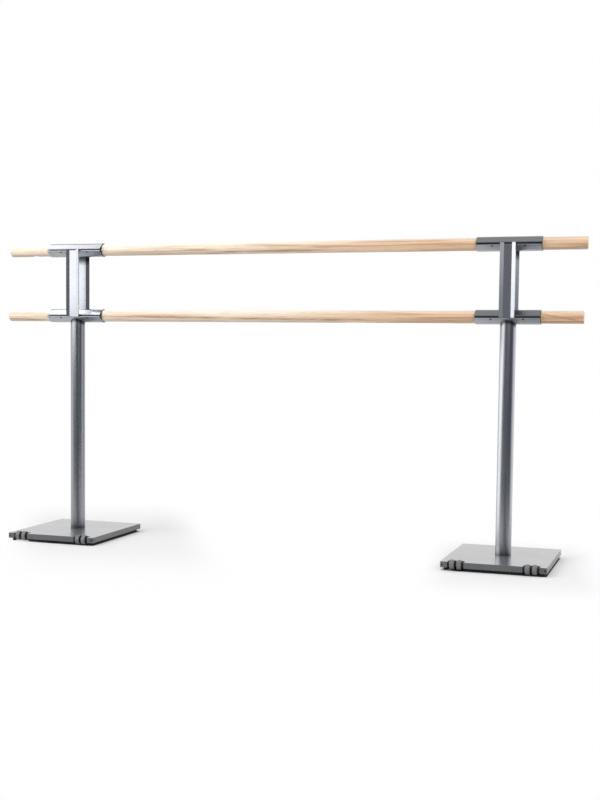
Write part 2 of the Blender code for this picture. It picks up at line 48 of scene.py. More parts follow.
print("frame loaded:", len(nodes), "nodes")


# sizes and places taken from the frame

def middleOf(node):
    low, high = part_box(node)
    return (low + high) / 2


def sizeOf(node):
    low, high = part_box(node)
    return high - low


def over(node, height):
    # the place at this height on the upright line through a node's middle
    middle = middleOf(node)
    return (middle.x, middle.y, height)


columnLine = middleOf("left_column").y  # the columns, posts and clamps have their middles on it


def added(name, data):
    obj = bpy.data.objects.new(name, data)
    bpy.context.scene.collection.objects.link(obj)
    return obj


# camera: where the photograph was taken from, measured from the corners of the barre
camera = {
    "place": (1.3646, -3.8389, 0.6763),
    "yaw": 0.3208,  # to the left of +Y
    "pitch": -0.06445,
    "roll": 0.01129,
    "lens": 55.354,  # mm, on a sensor whose long side is 36 mm
    "shift": 0.03187,  # the photograph was trimmed, so its middle is a little above the lens axis
}


def makeCamera():
    data = bpy.data.cameras.new("photoCamera")
    data.lens = camera["lens"]
    data.shift_y = camera["shift"]
    data.clip_start = 0.05
    data.clip_end = 100
    obj = added("photoCamera", data)
    level = Matrix.Translation(camera["place"]) @ Matrix.Rotation(camera["yaw"], 4, "Z")
    tilted = level @ Matrix.Rotation(quarterTurn + camera["pitch"], 4, "X")
    obj.matrix_world = tilted @ Matrix.Rotation(camera["roll"], 4, "Z")
    bpy.context.scene.camera = obj


makeCamera()
print("camera placed")


# small helpers for node trees; the formulas go into the tree of the sockets that they are given

def isSocket(value):
    return isinstance(value, bpy.types.NodeSocket)


def feed(sockets, values):
    # sets or links each named socket
    for name, value in values.items():
        socket = sockets[name]
        if isSocket(value):
            socket.id_data.links.new(value, socket)
        else:
            socket.default_value = value


def put(tree, kind, inputs=None, **settings):
    # adds a node with its properties and inputs, and gives its outputs
    node = tree.nodes.new("ShaderNode" + kind)
    for name, value in settings.items():
        setattr(node, name, value)
    feed(node.inputs, inputs or {})
    return node.outputs


def follow(kind, inputs, **settings):
    # the same, beside the first socket among its inputs
    tree = next(value.id_data for value in inputs.values() if isSocket(value))
    return put(tree, kind, inputs, **settings)


def calc(operation, *values):
    return follow("Math", dict(enumerate(values)), operation=operation)[0]


def folded(operation, values):
    result = values[0]
    for value in values[1:]:
        result = calc(operation, result, value)
    return result


def times(*values):
    return folded("MULTIPLY", values)


def plus(*values):
    return folded("ADD", values)


def highest(*values):
    return folded("MAXIMUM", values)


def minus(first, second):
    return calc("SUBTRACT", first, second)


def below(value, limit):
    return calc("LESS_THAN", value, limit)


def offBy(value, middle=0.0):
    # how far a value lies from a middle, on either side
    return calc("ABSOLUTE", minus(value, middle))


def radial(first, second):
    return calc("SQRT", plus(times(first, first), times(second, second)))


def vectorCalc(operation, *values, output="Vector"):
    return follow("VectorMath", dict(enumerate(values)), operation=operation)[output]


def scaled(vector, factor):
    return follow("VectorMath", {0: vector, "Scale": factor}, operation="SCALE")["Vector"]


def ranged(value, low, high, newLow=0.0, newHigh=1.0, smooth=True):
    limits = {"Value": value, "From Min": low, "From Max": high, "To Min": newLow, "To Max": newHigh}
    return follow("MapRange", limits, interpolation_type="SMOOTHSTEP" if smooth else "LINEAR")["Result"]


def noise(vector, scale, detail=2.0, roughness=0.5, distortion=0.0, output="Fac"):
    # a scale of three numbers stretches the noise along the axes
    if isinstance(scale, tuple):
        vector, scale = vectorCalc("MULTIPLY", vector, scale), 1.0
    look = {"Vector": vector, "Scale": scale, "Detail": detail, "Roughness": roughness}
    return follow("TexNoise", {**look, "Distortion": distortion})[output]


def ramp(value, *stops):
    # a grey ramp of (position, brightness)
    color = follow("ValToRGB", {"Fac": value})["Color"]
    marks = color.node.color_ramp.elements
    while len(marks) < len(stops):
        marks.new(0.5)
    for mark, (position, grey) in zip(marks, stops):
        mark.position = position
        mark.color = (grey, grey, grey, 1)
    return color


def layered(color, *layers):
    # a color with others laid over it, each by its share
    for share, top in layers:
        color = follow("Mix", {0: share, 6: color, 7: top}, data_type="RGBA")[2]
    return color


def dimmed(color, share):
    return (*(share * part for part in color[:3]), 1)


def bumped(height, strength, distance):
    return follow("Bump", {"Height": height, "Strength": strength, "Distance": distance})["Normal"]


def newGroup(name, inputs):
    # a group with these inputs; a usual value of three numbers is a vector and one of four a color
    tree = bpy.data.node_groups.new(name, "ShaderNodeTree")
    for label, value in inputs.items():
        kind = {3: "Vector", 4: "Color"}[len(value)] if isinstance(value, tuple) else "Float"
        socket = tree.interface.new_socket(label, in_out="INPUT", socket_type="NodeSocket" + kind)
        socket.default_value = value
    return tree, tree.nodes.new("NodeGroupInput").outputs


def giveOut(tree, outputs):
    # what a group puts out; all are plain numbers, except Color
    for label in outputs:
        kind = "Color" if label == "Color" else "Float"
        tree.interface.new_socket(label, in_out="OUTPUT", socket_type="NodeSocket" + kind)
    feed(tree.nodes.new("NodeGroupOutput").inputs, outputs)
    return tree


def place(tree, group, look, **more):
    # a group in a material, with the values that stand under the group's name in the material's look
    return put(tree, "Group", {**look[group.name], **more}, node_tree=group)


def newMaterial(name):
    material = bpy.data.materials.new(name)
    material.use_nodes = True
    tree = material.node_tree
    return material, tree, tree.nodes["Principled BSDF"].inputs


def objectSpace(tree):
    return put(tree, "TexCoord")["Object"]


def axes(vector):
    # its X, Y and Z
    return follow("SeparateXYZ", {"Vector": vector})


def pieceSpace(tree):
    # the piece's own coordinates in metres, shifted by its own random amount
    own = times(put(tree, "ObjectInfo")["Random"], 7.0)
    shift = put(tree, "CombineXYZ", {"X": own, "Y": own, "Z": own})[0]
    return vectorCalc("ADD", objectSpace(tree), shift)


def localNormal(tree):
    world = {"Vector": put(tree, "NewGeometry")["True Normal"]}
    spaces = {"convert_from": "WORLD", "convert_to": "OBJECT"}
    return axes(put(tree, "VectorTransform", world, vector_type="NORMAL", **spaces)[0])


# shared effects, each a node group built once

def makeDrawnGrain():
    # fine lines along the direction in which a profile was drawn or brushed, and a few scratches across
    tree, given = newGroup("drawnGrain", {"Stretch": (900, 900, 12), "Scratch Scale": 60.0})
    own = pieceSpace(tree)
    along = vectorCalc("MULTIPLY", own, given["Stretch"])
    tilted = put(tree, "VectorRotate", {"Vector": own, "Angle": 0.6}, rotation_type="X_AXIS")["Vector"]
    drawnOut = vectorCalc("MULTIPLY", tilted, (1, 26, 26))
    hair = noise(drawnOut, given["Scratch Scale"], distortion=0.4)
    line = ranged(offBy(hair, 0.5), 0.006, 0.0)
    patch = ranged(noise(own, 38.0, 1.0), 0.56, 0.68)
    return giveOut(tree, {
        "Lines": noise(along, 1.0, 3.0, 0.6),
        "Bands": ranged(noise(along, 0.16), 0.3, 0.7),
        "Scratches": times(line, patch),
    })


def makeEdgeWear():
    # a mask along the edges, broken up by noise
    tree, given = newGroup("edgeWear", {"Width": 0.001, "Amount": 0.5, "Scale": 180.0})
    rounded = put(tree, "Bevel", {"Radius": given["Width"]}, samples=6)["Normal"]
    flat = put(tree, "NewGeometry")["Normal"]
    edge = ranged(vectorCalc("DOT_PRODUCT", rounded, flat, output="Value"), 0.995, 0.90)
    speckle = ranged(noise(pieceSpace(tree), given["Scale"], 4.0, 0.6), 0.62, 0.38)
    return giveOut(tree, {"Mask": times(edge, speckle, given["Amount"])})


def makeHandling():
    # soft uneven patches left by hands, cloths and packing
    tree, given = newGroup("handling", {"Scale": 9.0, "Contrast": 0.5})
    broad = noise(pieceSpace(tree), given["Scale"], 4.0, 0.62, 0.8)
    half = times(given["Contrast"], 0.25)
    return giveOut(tree, {"Smudge": ranged(broad, minus(0.5, half), plus(0.5, half))})


def makeSettledDust():
    # a thin film on what faces up, thicker in patches
    tree, given = newGroup("settledDust", {"Amount": 0.2, "Scale": 24.0})
    upward = ranged(axes(put(tree, "NewGeometry")["Normal"])["Z"], 0.55, 0.95)
    own = pieceSpace(tree)
    patches = ranged(noise(own, given["Scale"], 5.0, 0.65), 0.35, 0.75)
    specks = ranged(noise(own, 1500.0, 1.0), 0.62, 0.75)
    film = plus(times(patches, 0.8), times(specks, 0.5))
    return giveOut(tree, {"Mask": times(film, given["Amount"], upward)})


def makeMouldedGrain():
    # the fine pebbled skin of moulded rubber and plastic
    tree, given = newGroup("mouldedGrain", {"Scale": 2200.0, "Unevenness": 0.4})
    own = pieceSpace(tree)
    cells = put(tree, "TexVoronoi", {"Vector": own, "Scale": given["Scale"]})["Distance"]
    waves = noise(own, times(given["Scale"], 0.06), 3.0, 0.55)
    swell = times(waves, given["Unevenness"])
    return giveOut(tree, {"Height": plus(times(cells, 0.7), swell), "Tone": waves})


def makeAshWood():
    # growth rings about a pith beside the bar, which the lathe cuts into long flames along it
    tree, given = newGroup("ashWood", {
        "Pith": (0, 0.03, -0.07),
        "Slope": (0, 0.012, 0.006),
        "Seed": (0, 0, 0),
        "Ring Width": 0.0032,
        "Wander": 0.010,
        "Pale": (0.72, 0.50, 0.33, 1),
        "Tan": (0.55, 0.33, 0.18, 1),
        "Pore": (0.34, 0.19, 0.10, 1),
    })
    at = objectSpace(tree)
    seeded = vectorCalc("ADD", at, given["Seed"])

    def sideways(scale, reach):
        drift = vectorCalc("SUBTRACT", noise(seeded, scale, output="Color"), (0.5, 0.5, 0.5))
        return scaled(vectorCalc("MULTIPLY", drift, (0, 1, 1)), reach)

    # the rings lean, and drift sideways along the bar in long waves and in short ones
    fromPith = vectorCalc("SUBTRACT", vectorCalc("MULTIPLY", at, (0, 1, 1)), given["Pith"])
    leaning = scaled(given["Slope"], axes(at)["X"])
    for shift in (leaning, sideways((1.3, 5, 5), given["Wander"]), sideways((9, 60, 60), 0.0022)):
        fromPith = vectorCalc("ADD", fromPith, shift)
    distance = vectorCalc("LENGTH", fromPith, output="Value")
    outward = put(tree, "CombineXYZ", {"X": times(distance, 170.0), "Y": 3.0, "Z": 1.0})[0]
    uneven = times(noise(outward, 1.0, 1.0), 1.5)
    rings = plus(calc("DIVIDE", distance, given["Ring Width"]), uneven)
    season, year = calc("FRACT", rings), calc("FLOOR", rings)
    early = ramp(season, (0.0, 0.55), (0.05, 1.0), (0.2, 0.75), (0.42, 0.2), (0.75, 0.0), (1.0, 0.3))
    bold = put(tree, "TexWhiteNoise", {"W": year}, noise_dimensions="1D")["Value"]
    early = times(early, ranged(bold, 0.0, 1.0, 0.35, 1.0, smooth=False))
    # pores and fibres run along the bar
    fibre = noise(seeded, (22, 850, 850), roughness=0.6)
    pore = ranged(noise(seeded, (75, 2400, 2400), 1.0), 0.55, 0.68)
    pore = times(pore, ranged(early, 0.1, 0.7))
    tone = noise(seeded, (2.2, 26, 26), 3.0, 0.55)
    # a few long dark streaks and short flecks, drawn out along the bar; the ends show only their rings
    vein = ranged(offBy(noise(seeded, (1.5, 62, 62)), 0.5), 0.09, 0.01)
    vein = times(vein, ranged(noise(seeded, (1.1, 24, 24), 1.0), 0.42, 0.62), 0.65)
    fleck = ranged(noise(seeded, (13, 270, 270)), 0.54, 0.68, 0.0, 0.4)
    lengthways = ranged(offBy(localNormal(tree)["X"]), 0.8, 0.4)
    return giveOut(tree, {
        "Color": layered(
            given["Pale"],
            (early, given["Tan"]),
            (ranged(fibre, 0.3, 0.7, 0.0, 0.22), given["Tan"]),
            (ranged(tone, 0.35, 0.75, 0.0, 0.3), given["Tan"]),
            (times(pore, 0.6), given["Pore"]),
            (times(highest(vein, fleck), lengthways), given["Pore"]),
        ),
        "Roughness": plus(times(pore, 0.2), times(fibre, 0.12)),
        "Height": minus(minus(times(fibre, 0.25), pore), times(early, 0.3)),
    })


drawnGrain = makeDrawnGrain()
edgeWear = makeEdgeWear()
handling = makeHandling()
settledDust = makeSettledDust()
mouldedGrain = makeMouldedGrain()
ashWood = makeAshWood()
print("shared effects built")


def touched(tree, look):
    # the smudges and the worn edges of a material
    return place(tree, handling, look)["Smudge"], place(tree, edgeWear, look)["Mask"]


# mesh helpers

def meshFrom(name, work):
    bmesh.ops.recalc_face_normals(work, faces=work.faces)
    mesh = bpy.data.meshes.new(name)
    work.to_mesh(mesh)
    work.free()
    return mesh


def arc(centre, radius, start, end, steps):
    angles = [start + (end - start) * i / steps for i in range(steps + 1)]
    return [(centre[0] + radius * math.cos(a), centre[1] + radius * math.sin(a)) for a in angles]


def mirrored(profile):
    # the lower half of a profile
    return [(r, -h) for r, h in reversed(profile)]


def flipped(outline):
    # the left half of an outline
    return [(-x, *others) for x, *others in reversed(outline)]


sharp = (0, 0)


def filleted(corners):
    # an outline of corners (x, y, rounding); a rounding is always a radius and its number of steps
    result = []
    for i, (x, y, (radius, steps)) in enumerate(corners):
        if not radius:
            result.append((x, y))
            continue
        at = Vector((x, y))
        back = (Vector(corners[i - 1][:2]) - at).normalized()
        ahead = (Vector(corners[(i + 1) % len(corners)][:2]) - at).normalized()
        half = back.angle(ahead) / 2
        reach = radius / math.tan(half)
        centre = at + (back + ahead).normalized() * radius / math.sin(half)
        first, last = at + back * reach - centre, at + ahead * reach - centre
        start = math.atan2(first.y, first.x)
        sweep = (math.atan2(last.y, last.x) - start + halfTurn) % (2 * halfTurn) - halfTurn
        result += arc(centre, radius, start, start + sweep, steps)
    return result


def turned(name, profile, facets, closed=False):
    # a profile of (radius, height) turned round Z; a radius of 0 ends it on the axis
    work = bmesh.new()
    rings = []
    for radius, height in profile:
        spots = arc((0, 0), radius, 0, 2 * halfTurn, facets)[:-1] if radius else [(0, 0)]
        ring = [work.verts.new((x, y, height)) for x, y in spots]
        rings.append(ring if radius else ring * facets)
    following = rings[1:] + rings[:1] if closed else rings[1:]
    for ring, after in zip(rings, following):
        for i in range(facets):
            j = (i + 1) % facets
            corners = list(dict.fromkeys((ring[i], ring[j], after[j], after[i])))
            if len(corners) > 2:
                work.faces.new(corners)
    return meshFrom(name, work)


def drill(top, *steps, facets=48):
    # a cutter for a hole: from its top, each step's radius and how far down it goes
    profile, height = [(0, top)], top
    for radius, foot in steps:
        profile += [(radius, height), (radius, foot)]
        height = foot
    return turned("drill", profile + [(0, height)], facets)


def extruded(name, outline, length, turn=None):
    # an outline in X and Y made solid about its middle plane, then turned
    work = bmesh.new()
    face = work.faces.new([work.verts.new((x, y, -length / 2)) for x, y in outline])
    pushed = bmesh.ops.extrude_face_region(work, geom=[face])
    lifted = [item for item in pushed["geom"] if isinstance(item, bmesh.types.BMVert)]
    bmesh.ops.translate(work, verts=lifted, vec=(0, 0, length))
    mesh = meshFrom(name, work)
    if turn:
        mesh.transform(turn)
    return mesh


alongX = Matrix.Rotation(quarterTurn, 4, "Z") @ Matrix.Rotation(quarterTurn, 4, "X")
alongY = Matrix.Rotation(quarterTurn, 4, "X")
axisToX = Matrix.Rotation(quarterTurn, 4, "Y")
spare = 0.001  # how far a cutter reaches past what it cuts
throughAll = 0.2  # how long it is where it cuts a whole profile


def worked(name, mesh, cutters=(), edge=0.0, sharperThan=40, segments=3, operation="DIFFERENCE"):
    # cut, then with its edges broken, as one finished mesh
    obj = added(name, mesh)
    helpers = [obj]
    for number, (cutterMesh, spot) in enumerate(cutters):
        cutter = added(f"{name}Cutter{number}", cutterMesh)
        cutter.location = spot
        helpers.append(cutter)
        boolean = obj.modifiers.new("cut", "BOOLEAN")
        boolean.object = cutter
        boolean.operation = operation
        boolean.solver = "EXACT"
    if edge:
        bevel = obj.modifiers.new("edges", "BEVEL")
        bevel.width = edge
        bevel.segments = segments
        bevel.limit_method = "ANGLE"
        bevel.angle_limit = math.radians(sharperThan)
        bevel.miter_outer = "MITER_ARC"
    bpy.context.view_layer.update()
    graph = bpy.context.evaluated_depsgraph_get()
    result = bpy.data.meshes.new_from_object(obj.evaluated_get(graph), depsgraph=graph)
    result.name = name
    for helper in helpers:
        bpy.data.objects.remove(helper)
    return result


def newPiece(node, mesh, finish, spot=None, turn=(0, 0, 0), body="frame"):
    # a piece in place of a node, named after it: left_upper_cap gives leftUpperCap
    first, *words = node.split("_")
    obj = added(first + "".join(word.capitalize() for word in words), mesh)
    obj.location = spot or middleOf(node)
    obj.rotation_euler = turn
    material, slot = finish
    if not mesh.materials:
        mesh.shade_smooth()
        mesh.set_sharp_from_angle(angle=math.radians(34))
        mesh.materials.append(material)
    weighted = obj.modifiers.new("normals", "WEIGHTED_NORMAL")
    weighted.keep_sharp = True
    weighted.weight = 80
    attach(obj, body)
    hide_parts(node)


# bars: pale ash under a thin satin lacquer

barWood = {
    "upper": {"Pith": (0, 0.028, -0.062), "Slope": (0, 0.010, 0.007), "Seed": (0.0, 0.0, 0.0)},
    "lower": {"Pith": (0, -0.040, -0.055), "Slope": (0, -0.006, 0.011), "Seed": (5.3, 2.1, 8.7)},
    "ashWood": {"Ring Width": 0.0034, "Wander": 0.013, "Pore": (0.40, 0.225, 0.11, 1)},
    # painted light: the wood is painted paler and less yellow towards the left end of each bar
    "paleLeft": (0.84, 0.75, 0.635, 1),
    "paleRight": (0.80, 0.565, 0.375, 1),
    "tanLeft": (0.71, 0.53, 0.37, 1),
    "tanRight": (0.62, 0.385, 0.22, 1),
    "turnsFrom": -0.25,  # along the bar, from its middle
    "turnsTo": 0.55,
    # dark streaks on the front: where each starts and ends along the bar, its heights there, half its width
    "upperStreaks": [(-0.26, 0.16, -0.0115, -0.0135, 0.0045), (0.22, 0.60, 0.010, 0.0135, 0.0030)],
    "lowerStreaks": [
        (-1.03, -0.84, -0.0115, -0.0145, 0.0040),
        (-0.66, 0.06, -0.0005, -0.0095, 0.0050),
        (-0.16, 0.40, -0.0070, -0.0120, 0.0055),
        (0.85, 1.02, 0.0150, -0.0180, 0.0030),
    ],
    # the colour of the painted light along the top of each bar
    "paintedTopLight": (0.90, 0.86, 0.78, 1),
    # a black liner, which also stands in for the painted shade in the slots of the clamps
    "liner": (0.012, 0.012, 0.013, 1),
    "linerBeyondClamp": 0.0008,
    "handling": {"Scale": 5.0, "Contrast": 1.0},
    "smudges": 0.08,
    "roughness": 0.36,
    "coat": 0.6,
    "coatRoughness": 0.25,
    "bump": (0.35, 0.00006),  # strength and depth, here and in the other materials
}


def linerAndSlotShadeMask(tree, which):
    # a mask for the parts of a bar that lie in the clamps, where a thin black liner is painted that also
    # stands in for the shade in the slots
    along = axes(objectSpace(tree))["X"]
    masks = []
    for stand in stands:
        cap = f"{stand}_upper_cap"
        middle = middleOf(cap).x - middleOf(which + "_bar").x
        reach = sizeOf(cap).x / 2 + barWood["linerBeyondClamp"]
        masks.append(below(offBy(along, middle), reach))
    return highest(*masks)


def streakMask(tree, start, end, low, high, halfWidth):
    own = objectSpace(tree)
    at = axes(own)
    share = ranged(at["X"], start, end, smooth=False)
    level = calc("MULTIPLY_ADD", share, high - low, low)
    wobble = calc("MULTIPLY_ADD", noise(own, (9, 30, 30), roughness=0.6), 0.006, -0.003)
    line = ranged(offBy(at["Z"], plus(level, wobble)), halfWidth, 0.0)
    ends = ranged(offBy(share, 0.5), 0.5, 0.28)
    broken = ranged(noise(own, (14, 500, 500), roughness=0.6), 0.32, 0.55)
    return times(line, ends, broken, below(at["Y"], 0.0))


def makeBarWood(which, look=barWood):
    material, tree, shader = newMaterial(which + "BarWood")
    # painted light: the wood turns paler towards the left end of the bar
    along = ranged(axes(objectSpace(tree))["X"], look["turnsFrom"], look["turnsTo"])
    pale = layered(look["paleLeft"], (along, look["paleRight"]))
    tan = layered(look["tanLeft"], (along, look["tanRight"]))
    wood = place(tree, ashWood, look, **look[which], Pale=pale, Tan=tan)
    smudge = place(tree, handling, look)["Smudge"]
    # painted light: the top of the bar is painted paler, most towards the left end
    paintedTopLight = ranged(localNormal(tree)["Z"], 0.15, 0.95, 0.0, 0.6)
    paintedTopLight = times(paintedTopLight, ranged(along, 0.0, 1.0, 1.0, 0.45, smooth=False))
    dark = look["ashWood"]["Pore"]
    streaks = [(streakMask(tree, *streak), dark) for streak in look[which + "Streaks"]]
    rough = plus(wood["Roughness"], look["roughness"])
    feed(shader, {
        "Base Color": layered(
            wood["Color"],
            (times(smudge, look["smudges"]), look["tanRight"]),
            (paintedTopLight, look["paintedTopLight"]),
            *streaks,
            (linerAndSlotShadeMask(tree, which), look["liner"]),
        ),
        "Roughness": minus(rough, times(smudge, 0.06)),
        "Coat Weight": look["coat"],
        "Coat Roughness": look["coatRoughness"],
        "Normal": bumped(wood["Height"], *look["bump"]),
    })
    return material


bar = {"endRound": (0.0022, 5), "facets": 128}


def makeBars():
    size = sizeOf("upper_bar")
    radius, half = size.z / 2, size.x / 2
    rounding, steps = bar["endRound"]
    end = [(0, half)] + arc((radius - rounding, half - rounding), rounding, quarterTurn, 0, steps)
    mesh = turned("bar", end + mirrored(end), bar["facets"])
    mesh.transform(axisToX)
    for level in levels:
        newPiece(level + "_bar", mesh.copy(), (makeBarWood(level), "bar_wood"))


makeBars()
print("bars made")


# satin aluminium, of which the clamps, posts and columns are drawn

satinAluminium = {
    "color": (0.425, 0.44, 0.47, 1),
    "shade": (0.375, 0.39, 0.42, 1),
    "bareEdge": (0.66, 0.67, 0.69, 1),
    # painted shade: this colour, laid on by each part's mask at the share given below
    "dark": (0.035, 0.037, 0.042, 1),
    "bands": 0.25,
    "smudges": 0.3,
    "scratches": 0.25,
    "paintedShadeShare": 0.9,
    "drawnGrain": {"Scratch Scale": 40.0},
    "handling": {"Scale": 7.0, "Contrast": 0.9},
    "edgeWear": {"Width": 0.0008, "Amount": 0.35, "Scale": 260.0},
    "roughness": 0.26,
    "bump": (0.03, 0.00001),
}
grainAlongZ, grainAlongX = (1400, 1400, 9), (9, 1400, 1400)  # fine across, long along


def makeSatinAluminium(name, stretch, paintedShadeMask, look=satinAluminium):
    # anodised drawn profile, its fine lines along the length
    material, tree, shader = newMaterial(name)
    grain = place(tree, drawnGrain, look, Stretch=stretch)
    smudge, wear = touched(tree, look)
    rough = calc("MULTIPLY_ADD", grain["Lines"], 0.08, look["roughness"] - 0.04)
    height = minus(grain["Lines"], grain["Scratches"])
    feed(shader, {
        "Base Color": layered(
            look["color"],
            (times(grain["Bands"], look["bands"]), look["shade"]),
            (times(smudge, look["smudges"]), look["shade"]),
            (times(grain["Scratches"], look["scratches"]), look["bareEdge"]),
            (wear, look["bareEdge"]),
            # painted shade, where the part's mask lays it
            (times(paintedShadeMask(tree), look["paintedShadeShare"]), look["dark"]),
        ),
        "Metallic": 1.0,
        "Roughness": plus(rough, times(smudge, 0.04)),
        "Normal": bumped(height, *look["bump"]),
    })
    return material


# clamps: a split sleeve drawn in one profile and sawn to length

clamp = {
    "wall": 0.0027,
    "fit": 0.0003,  # between the bar and the bore
    "slot": 0.003,
    "noseHeight": 0.009,
    "slotRound": (0.0008, 4),
    "noseRound": (0.0022, 7),
    "crownSteps": 44,
    "boreSteps": 48,
    "grooveWidth": 0.0016,
    "grooveDepth": 0.0006,
    "sawnEdge": 0.00035,
    "screwSpacing": 0.101,
    "screwToNose": 0.0045,
    "screwHole": 0.0018,  # the radius of each of these holes
    "headHole": 0.00305,
    "drillFacets": 28,
    "seatCover": 0.0017,
    "skin": 0.0015,  # left above the end of a thread
    "drillLineShade": 0.4,  # how dark the painted shade is there
    "drillLineFade": 0.0003,
    "slotEdgeShade": 0.75,
    "slotEdgeShadeReach": (0.0016, 0.0005),  # a reach is where an effect ends and up to where it is full
    "seatMargin": 0.0002,
}
boreRadius = sizeOf("upper_bar").z / 2 + clamp["fit"]
sleeveRadius = boreRadius + clamp["wall"]
clampReach = sizeOf("left_upper_cap").y / 2
screwLine = clampReach - clamp["screwToNose"]
noseHalf = clamp["noseHeight"] / 2
# the flank runs from the nose to where it touches the sleeve; this is the angle of its normal
flank = math.atan2(noseHalf, clampReach) + math.acos(sleeveRadius / math.hypot(clampReach, noseHalf))


def flankHeight(across, radius):
    # height above the bar's axis of the flank that touches a circle of this radius
    return (radius - across * math.cos(flank)) / math.sin(flank)


def clampPaintedShade(tree):
    # painted shade on the sawn ends and in the drilled seats
    sawn = ranged(offBy(localNormal(tree)["X"]), 0.8, 0.95)
    at = axes(objectSpace(tree))
    x = minus(offBy(at["X"]), clamp["screwSpacing"] / 2)
    y = minus(offBy(at["Y"]), screwLine)
    seat = below(radial(x, y), clamp["headHole"] + clamp["seatMargin"])
    seat = times(seat, below(at["Z"], 0.0))
    # painted shade along the drill line
    depth = radial(y, plus(at["Z"], flankHeight(screwLine, sleeveRadius)))
    half = clamp["grooveWidth"] / 2
    line = ranged(depth, half + clamp["drillLineFade"], half, 0.0, clamp["drillLineShade"])
    # and painted shade along the edges of the slot
    reach, full = (clamp["slot"] / 2 + part for part in clamp["slotEdgeShadeReach"])
    edge = ranged(offBy(at["Z"]), reach, full, 0.0, clamp["slotEdgeShade"])
    return highest(sawn, seat, line, edge)


def shellOutline(grooved):
    (small, smallSteps), (large, largeSteps) = clamp["slotRound"], clamp["noseRound"]
    slotHalf, centre = clamp["slot"] / 2, clampReach - large
    side = arc((clampReach - small, slotHalf + small), small, -quarterTurn, 0, smallSteps)
    side += arc((centre, flankHeight(centre, sleeveRadius - large)), large, 0, flank, largeSteps)
    if grooved:
        middle = Vector((screwLine, flankHeight(screwLine, sleeveRadius)))
        normal = Vector((math.cos(flank), math.sin(flank)))
        toNose = Vector((normal.y, -normal.x)) * clamp["grooveWidth"] / 2
        for point in (middle + toNose, middle - normal * clamp["grooveDepth"], middle - toNose):
            side.append(tuple(point))
    crown = arc((0, 0), sleeveRadius, flank, halfTurn - flank, clamp["crownSteps"])
    boreEnd = math.asin(slotHalf / boreRadius)
    inside = arc((0, 0), boreRadius, halfTurn - boreEnd, boreEnd, clamp["boreSteps"])
    return side + crown + flipped(side) + inside


def makeClamps():
    length = sizeOf("left_upper_cap").x
    spots = [(x * clamp["screwSpacing"] / 2, y * screwLine, 0) for x in (-1, 1) for y in (-1, 1)]

    def shell(name, outline, *hole):
        blank = extruded(name, outline, length, alongX)
        bit = drill(*hole, facets=clamp["drillFacets"])
        return worked(name, blank, [(bit, spot) for spot in spots], clamp["sawnEdge"], 60, segments=2)

    threadEnd = flankHeight(screwLine, sleeveRadius) - clamp["skin"]
    cap = shell("clampCap", shellOutline(False), threadEnd, (clamp["screwHole"], -spare))
    seat = -clamp["slot"] / 2 - clamp["seatCover"]
    lower = [(x, -y) for x, y in shellOutline(True)]
    steps = (clamp["screwHole"], seat), (clamp["headHole"], -sleeveRadius)
    saddle = shell("clampSaddle", lower, spare, *steps)
    finish = makeSatinAluminium("clampMetal", grainAlongX, clampPaintedShade), "clamp_metal"
    for stand in stands:
        for level in levels:
            for half, mesh in (("cap", cap), ("saddle", saddle)):
                node = f"{stand}_{level}_{half}"
                newPiece(node, mesh, finish, over(node, middleOf(level + "_bar").z))


makeClamps()
print("clamps made")


# fasteners

fastenerSteel = {
    # each steel: its color, its rubbed edges and its roughness
    "blackSteel": ((0.045, 0.045, 0.047, 1), (0.30, 0.30, 0.31, 1), 0.42),
    # the axles are bare steel, painted dark as the shade at their ends in the plate
    "axleSteel": ((0.09, 0.09, 0.092, 1), (0.30, 0.30, 0.31, 1), 0.4),
    "bareSteel": ((0.55, 0.55, 0.56, 1), (0.75, 0.75, 0.76, 1), 0.3),
    "drawnGrain": {"Stretch": (1800, 1800, 300), "Scratch Scale": 200.0},
    "edgeWear": {"Width": 0.0003, "Amount": 0.8, "Scale": 900.0},
    "bump": (0.3, 0.00001),
}


def makeFastenerSteel(name, look=fastenerSteel):
    # turned, blackened or bare, and rubbed bright at its edges
    color, bright, roughness = look[name]
    material, tree, shader = newMaterial(name)
    grain = place(tree, drawnGrain, look)
    wear = place(tree, edgeWear, look)["Mask"]
    feed(shader, {
        "Base Color": layered(dimmed(color, 0.75), (grain["Bands"], color), (wear, bright)),
        "Metallic": 1.0,
        "Roughness": calc("MULTIPLY_ADD", grain["Lines"], 0.14, roughness - 0.07),
        "Normal": bumped(grain["Lines"], *look["bump"]),
    })
    return material


blackFinish = makeFastenerSteel("blackSteel"), "black_steel"


# clamp screws: socket heads, put in from below

clampScrew = {
    "shank": 0.0015,
    "tipBreak": (0.0004, 0.0003),  # off its radius and its length
    "headHeight": 0.0024,
    "socket": 0.0025,
    "socketDepth": 0.0013,
    "rim": (0.0003, 3),
    "facets": 32,
    "threadPitch": 0.0005,
}
thread = {"depth": 0.3, "rootAt": 0.15, "crestAt": 0.5, "runOut": 0.1}  # all in pitches


def socketCutter(name, acrossFlats, depth, cone=0.4):
    # a hexagon with a conical floor, its mouth at height 0 and open downwards
    corner = acrossFlats / math.sqrt(3)
    return turned(name, [(0, depth + corner * cone), (corner, depth), (corner, -depth), (0, -depth)], 6)


def threaded(radius, top, bottom, pitch):
    # the outline of a thread as rings, which read as a thread at this size
    points = []
    core = radius - pitch * thread["depth"]
    for i in range(int((top - bottom) / pitch)):
        height = top - i * pitch
        points.append((core, height - pitch * thread["rootAt"]))
        points.append((radius, height - pitch * thread["crestAt"]))
    return points + [(core, bottom + pitch * thread["runOut"])]


